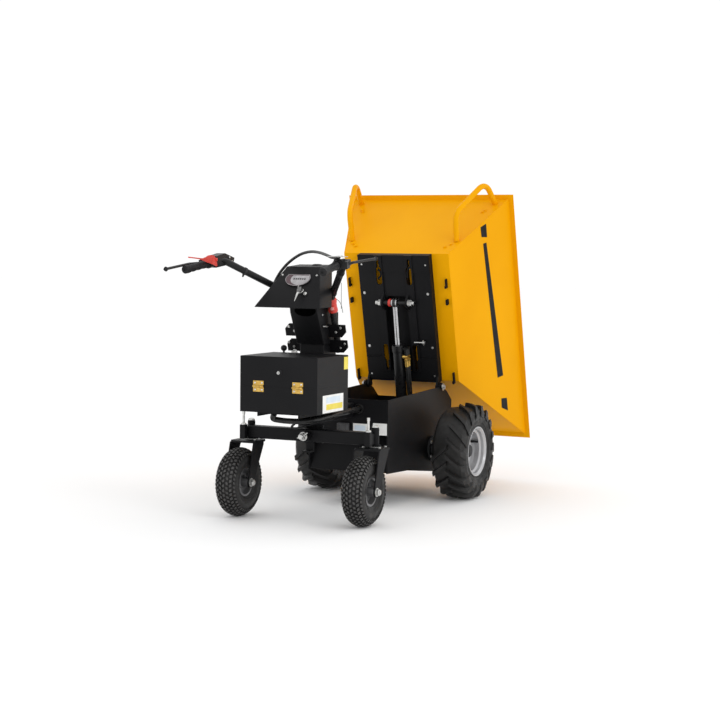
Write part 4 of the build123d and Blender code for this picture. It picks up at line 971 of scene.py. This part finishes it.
rear_out = (ALONG * RIM - DEEP * 0.144).normalized()
bm = bmesh.new()
for side in (1, -1):
    for u, v, y in ((0.5796, 0.0668, 0.2268), (0.5731, 0.0485, 0.2070), (0.6645, 0.3073, 0.2845),
                    (0.6687, 0.3194, 0.2917)):
        seat = on_tray(FLOOR_LENGTH + 0.144 * v / RIM, v, side * y) + rear_out * 0.0005
        bolt(bm, seat, rear_out, 0.0115)
build("tray_bolts", bm, yellow, "tray")

side_out = Vector((0, RIM, 0)) - DEEP * (RIM_HALF - FLOOR_HALF)
side_out.normalize()
for name, side in (("left", 1), ("right", -1)):
    bm = bmesh.new()
    for low_u, high_u in ((FLOOR_LENGTH, 0.700), (0.0, -0.370)):
        low = on_tray(low_u, 0.004, side * (FLOOR_HALF - 0.0015))
        high = on_tray(high_u, RIM - 0.006, side * (RIM_HALF - 0.0020))
        path = high - low
        beads = 40
        for index in range(beads):
            at = low + path * ((index + 0.5) / beads)
            turned(bm, at - path.normalized() * 0.0072, path, [
                (0, 0), (0.001, 0.0016), (0.005, 0.0027), (0.0110, 0.0027), (0.014, 0.0016), (0.0144, 0)], 8)
    build(f"corner_welds_{name}", bm, yellow, "tray")

graphic, place = surface("black_film", "black_paint")
shade(place,
      Base_Color=place.mottle(30, 2, (0.0085, 0.0085, 0.009), (0.013, 0.013, 0.014)),
      Roughness=0.35, Specular_IOR_Level=0.12)


def on_side(u, v, side, lift):
    """Place on the tray's side wall, lifted off its outer face."""
    y = FLOOR_HALF + (RIM_HALF - FLOOR_HALF) * v / RIM
    out = Vector((0, side * RIM, 0)) - DEEP * (RIM_HALF - FLOOR_HALF)
    return on_tray(u, v, side * y) + out.normalized() * lift


# Plain bars of the side graphic, by their corners on the wall
BARS = (
    ("top_bar", ((0.621, 0.210), (0.629, 0.247), (0.570, 0.247), (0.578, 0.212))),
    ("long_bar", ((0.548, 0.219), (0.548, 0.240), (-0.060, 0.285), (-0.060, 0.248))),
    ("end_bar", ((-0.160, 0.262), (-0.168, 0.298), (-0.228, 0.300), (-0.202, 0.260))),
)
for name, side in (("left", 1), ("right", -1)):
    bm = bmesh.new()
    for _, corners in BARS:
        low, high = ([bm.verts.new(on_side(u, v, side, lift)) for u, v in corners]
                     for lift in (0.0003, 0.0008))
        bm.faces.new(high)
        bm.faces.new(low)
        for index in range(4):
            after = (index + 1) % 4
            bm.faces.new((low[index], low[after], high[after], high[index]))
    build(f"side_bars_{name}", bm, graphic, "tray")

# ---- Tray subframe ------------------------------------------------------------------------------
# Two folded channels with keyholed straps carry the tray; bolts hold them through its floor.  A
# prop pin hangs in a clip, and lock nuts hold the cross shaft on which the rod's eye turns.

coat(tube, "tray_cross_shaft")
bm = bmesh.new()
for u in (0.515, 0.390, 0.154, 0.029):
    for y in (0.147, -0.147):
        bolt(bm, on_tray(u, -0.0320, y), -DEEP, 0.0085)
for y, u in ((0.063, 0.270), (-0.070, 0.500)):
    bolt(bm, on_tray(u, -0.0320, y), -DEEP, 0.007)
build("subframe_bolts", bm, zinc, "tray")

bm = bmesh.new()
for u in (0.486, 0.112):
    for y in (-0.125, 0.125):
        block(bm, on_tray(u, -0.0330, y), (0.0040, 0.078, 0.0040), 0.0012,
              Matrix.Rotation(radians(-14.0), 4, "Y"))
build("subframe_folds", bm, black, "tray")

shaft_low, shaft_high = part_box("tray_cross_shaft")
shaft_at = (shaft_low + shaft_high) / 2
bm = bmesh.new()
for side in (1, -1):
    inner_face = shaft_at + Vector((0, side * 0.062, 0))
    turned(bm, inner_face, (0, side, 0), [(0, 0.0085), (0, 0.0170), (0.002, 0.0170), (0.002, 0.0085)], 28)
    turned(bm, inner_face + Vector((0, side * 0.002, 0)), (0, side, 0), [
        (0, 0.0085), (0, 0.0145), (0.011, 0.0145), (0.0135, 0.0118), (0.0135, 0.0085)], 6)
    turned(bm, inner_face + Vector((0, side * 0.0155, 0)), (0, side, 0), [
        (0, 0.0085), (0.0, 0.0098), (0.010, 0.0098), (0.0125, 0.0080), (0.0125, 0)], 20)
build("shaft_nuts", bm, zinc, "tray")
bm = bmesh.new()
turned(bm, shaft_at + Vector((0, 0.0165, 0)), (0, 1, 0), [
    (0, 0.0095), (0, 0.0150), (0.002, 0.0165), (0.010, 0.0165), (0.012, 0.0150), (0.012, 0.0095)], 28)
build("shaft_collar", bm, red, "tray")

prop = on_tray(0.180, -0.048, -0.096)
bm = bmesh.new()
turned(bm, prop + Vector((0, 0.024, 0)), (0, -1, 0), [
    (0, 0), (0, 0.0030), (0.001, 0.0038), (0.044, 0.0038), (0.044, 0.0065), (0.050, 0.0065), (0.050, 0)], 20)
build("prop_pin", bm, zinc, "tray")
rod("prop_pin_ring", [prop + Vector((0, -0.022, 0)) + ALONG * a - DEEP * d for a, d in (
    (0.002, 0.001), (0.012, 0.004), (0.014, 0.010), (0.004, 0.015), (-0.008, 0.012), (-0.010, 0.004))],
    0.0013, zinc, "tray")
bm = bmesh.new()
for y in (-0.112, -0.080):
    block(bm, on_tray(0.180, -0.0405, y), (0.020, 0.003, 0.018), 0.0006,
          Matrix.Rotation(radians(-14.0), 4, "Y"))
build("prop_pin_clip", bm, black, "tray")
for name, bend in (("left", ((0.494, 0.071), (0.480, 0.058), (0.466, 0.062), (0.452, 0.076))),
                   ("right", ((0.508, -0.076), (0.494, -0.064), (0.480, -0.060), (0.460, -0.061)))):
    rod(f"keyhole_hook_{name}", [on_tray(u, -0.0335, y) for u, y in bend], 0.0042, black, "tray")

# ---- Tipping cylinder ---------------------------------------------------------------------------
# The barrel is honed tube painted black, with a chromed rod.  Two hoses run up beside it to
# brass elbows at its gland end, and the rod's eye stays in black paint.

CYLINDER = Vector((0.481, 0, 0.220))
CYLINDER_WAY = Vector((-0.1947, 0, 0.9809))
ROD_PIN = Vector((0.3641, 0, 0.8090))
chrome, place = surface("chrome")
plated = place.far_from(tuple(ROD_PIN)).between(0.0185, 0.0205)
shade(place,
      Base_Color=plated.tint((0.012, 0.012, 0.013), place.mottle(80, 2, (0.42, 0.42, 0.43),
          (0.52, 0.52, 0.53))),
      Metallic=plated, Roughness=plated.between(0, 1, 0.4, 0.14))
coat(chrome, "cylinder_rod")
coat(tube, "cylinder_barrel")

BARREL_LENGTH = 0.417
bm = bmesh.new()
gland = CYLINDER + CYLINDER_WAY * (BARREL_LENGTH - 0.030)
turned(bm, gland, CYLINDER_WAY, [
    (0, 0.0225), (0, 0.0262), (0.002, 0.0268), (0.024, 0.0268), (0.0285, 0.0245), (0.0295, 0.0120)], 40)
for step in range(6):
    angle = tau * step / 6
    side_way = Vector((0, 1, 0))
    face_way = side_way.cross(CYLINDER_WAY)
    spot = gland + CYLINDER_WAY * 0.0135 + (side_way * cos(angle) + face_way * sin(angle)) * 0.0262
    turned(bm, spot, (side_way * cos(angle) + face_way * sin(angle)), [
        (0, 0.0026), (0.0006, 0.0026), (0.0008, 0)], 12)
for along in (0.006, 0.055):
    turned(bm, CYLINDER + CYLINDER_WAY * (along + 0.020), CYLINDER_WAY, [
        (0, 0.0235), (0.001, 0.0250), (0.004, 0.0250), (0.005, 0.0235)], 40)
build("cylinder_gland", bm, tube, "barrel")

HOSE_Y = -0.0395
face_way = Vector((0, 1, 0)).cross(CYLINDER_WAY)
bm = bmesh.new()
for shift in (-0.009, 0.009):
    top = CYLINDER + CYLINDER_WAY * (0.372) + face_way * shift + Vector((0, HOSE_Y, 0))
    turned(bm, top - CYLINDER_WAY * 0.046, CYLINDER_WAY, [
        (0, 0.0072), (0, 0.0088), (0.018, 0.0088), (0.019, 0.0080), (0.030, 0.0080), (0.031, 0.0062),
        (0.040, 0.0062)], 24)
    turned(bm, top - CYLINDER_WAY * 0.022, CYLINDER_WAY, [
        (0, 0.0070), (0, 0.0108), (0.009, 0.0108), (0.010, 0.0095), (0.010, 0.0062)], 6)
    turned(bm, top - CYLINDER_WAY * 0.004, (0, 1, 0), [
        (-0.007, 0), (-0.007, 0.0070), (0.006, 0.0080), (0.016, 0.0080)], 20)
build("hose_fittings", bm, brass, "barrel")
bm = bmesh.new()
for shift in (-0.009, 0.009):
    foot = CYLINDER + CYLINDER_WAY * 0.075 + face_way * shift + Vector((0, HOSE_Y, 0))
    turned(bm, foot, CYLINDER_WAY, [(0, 0.0055), (0, 0.0078), (0.252, 0.0078), (0.252, 0.0055)], 28)
build("hose_sleeves", bm, hose, "barrel")
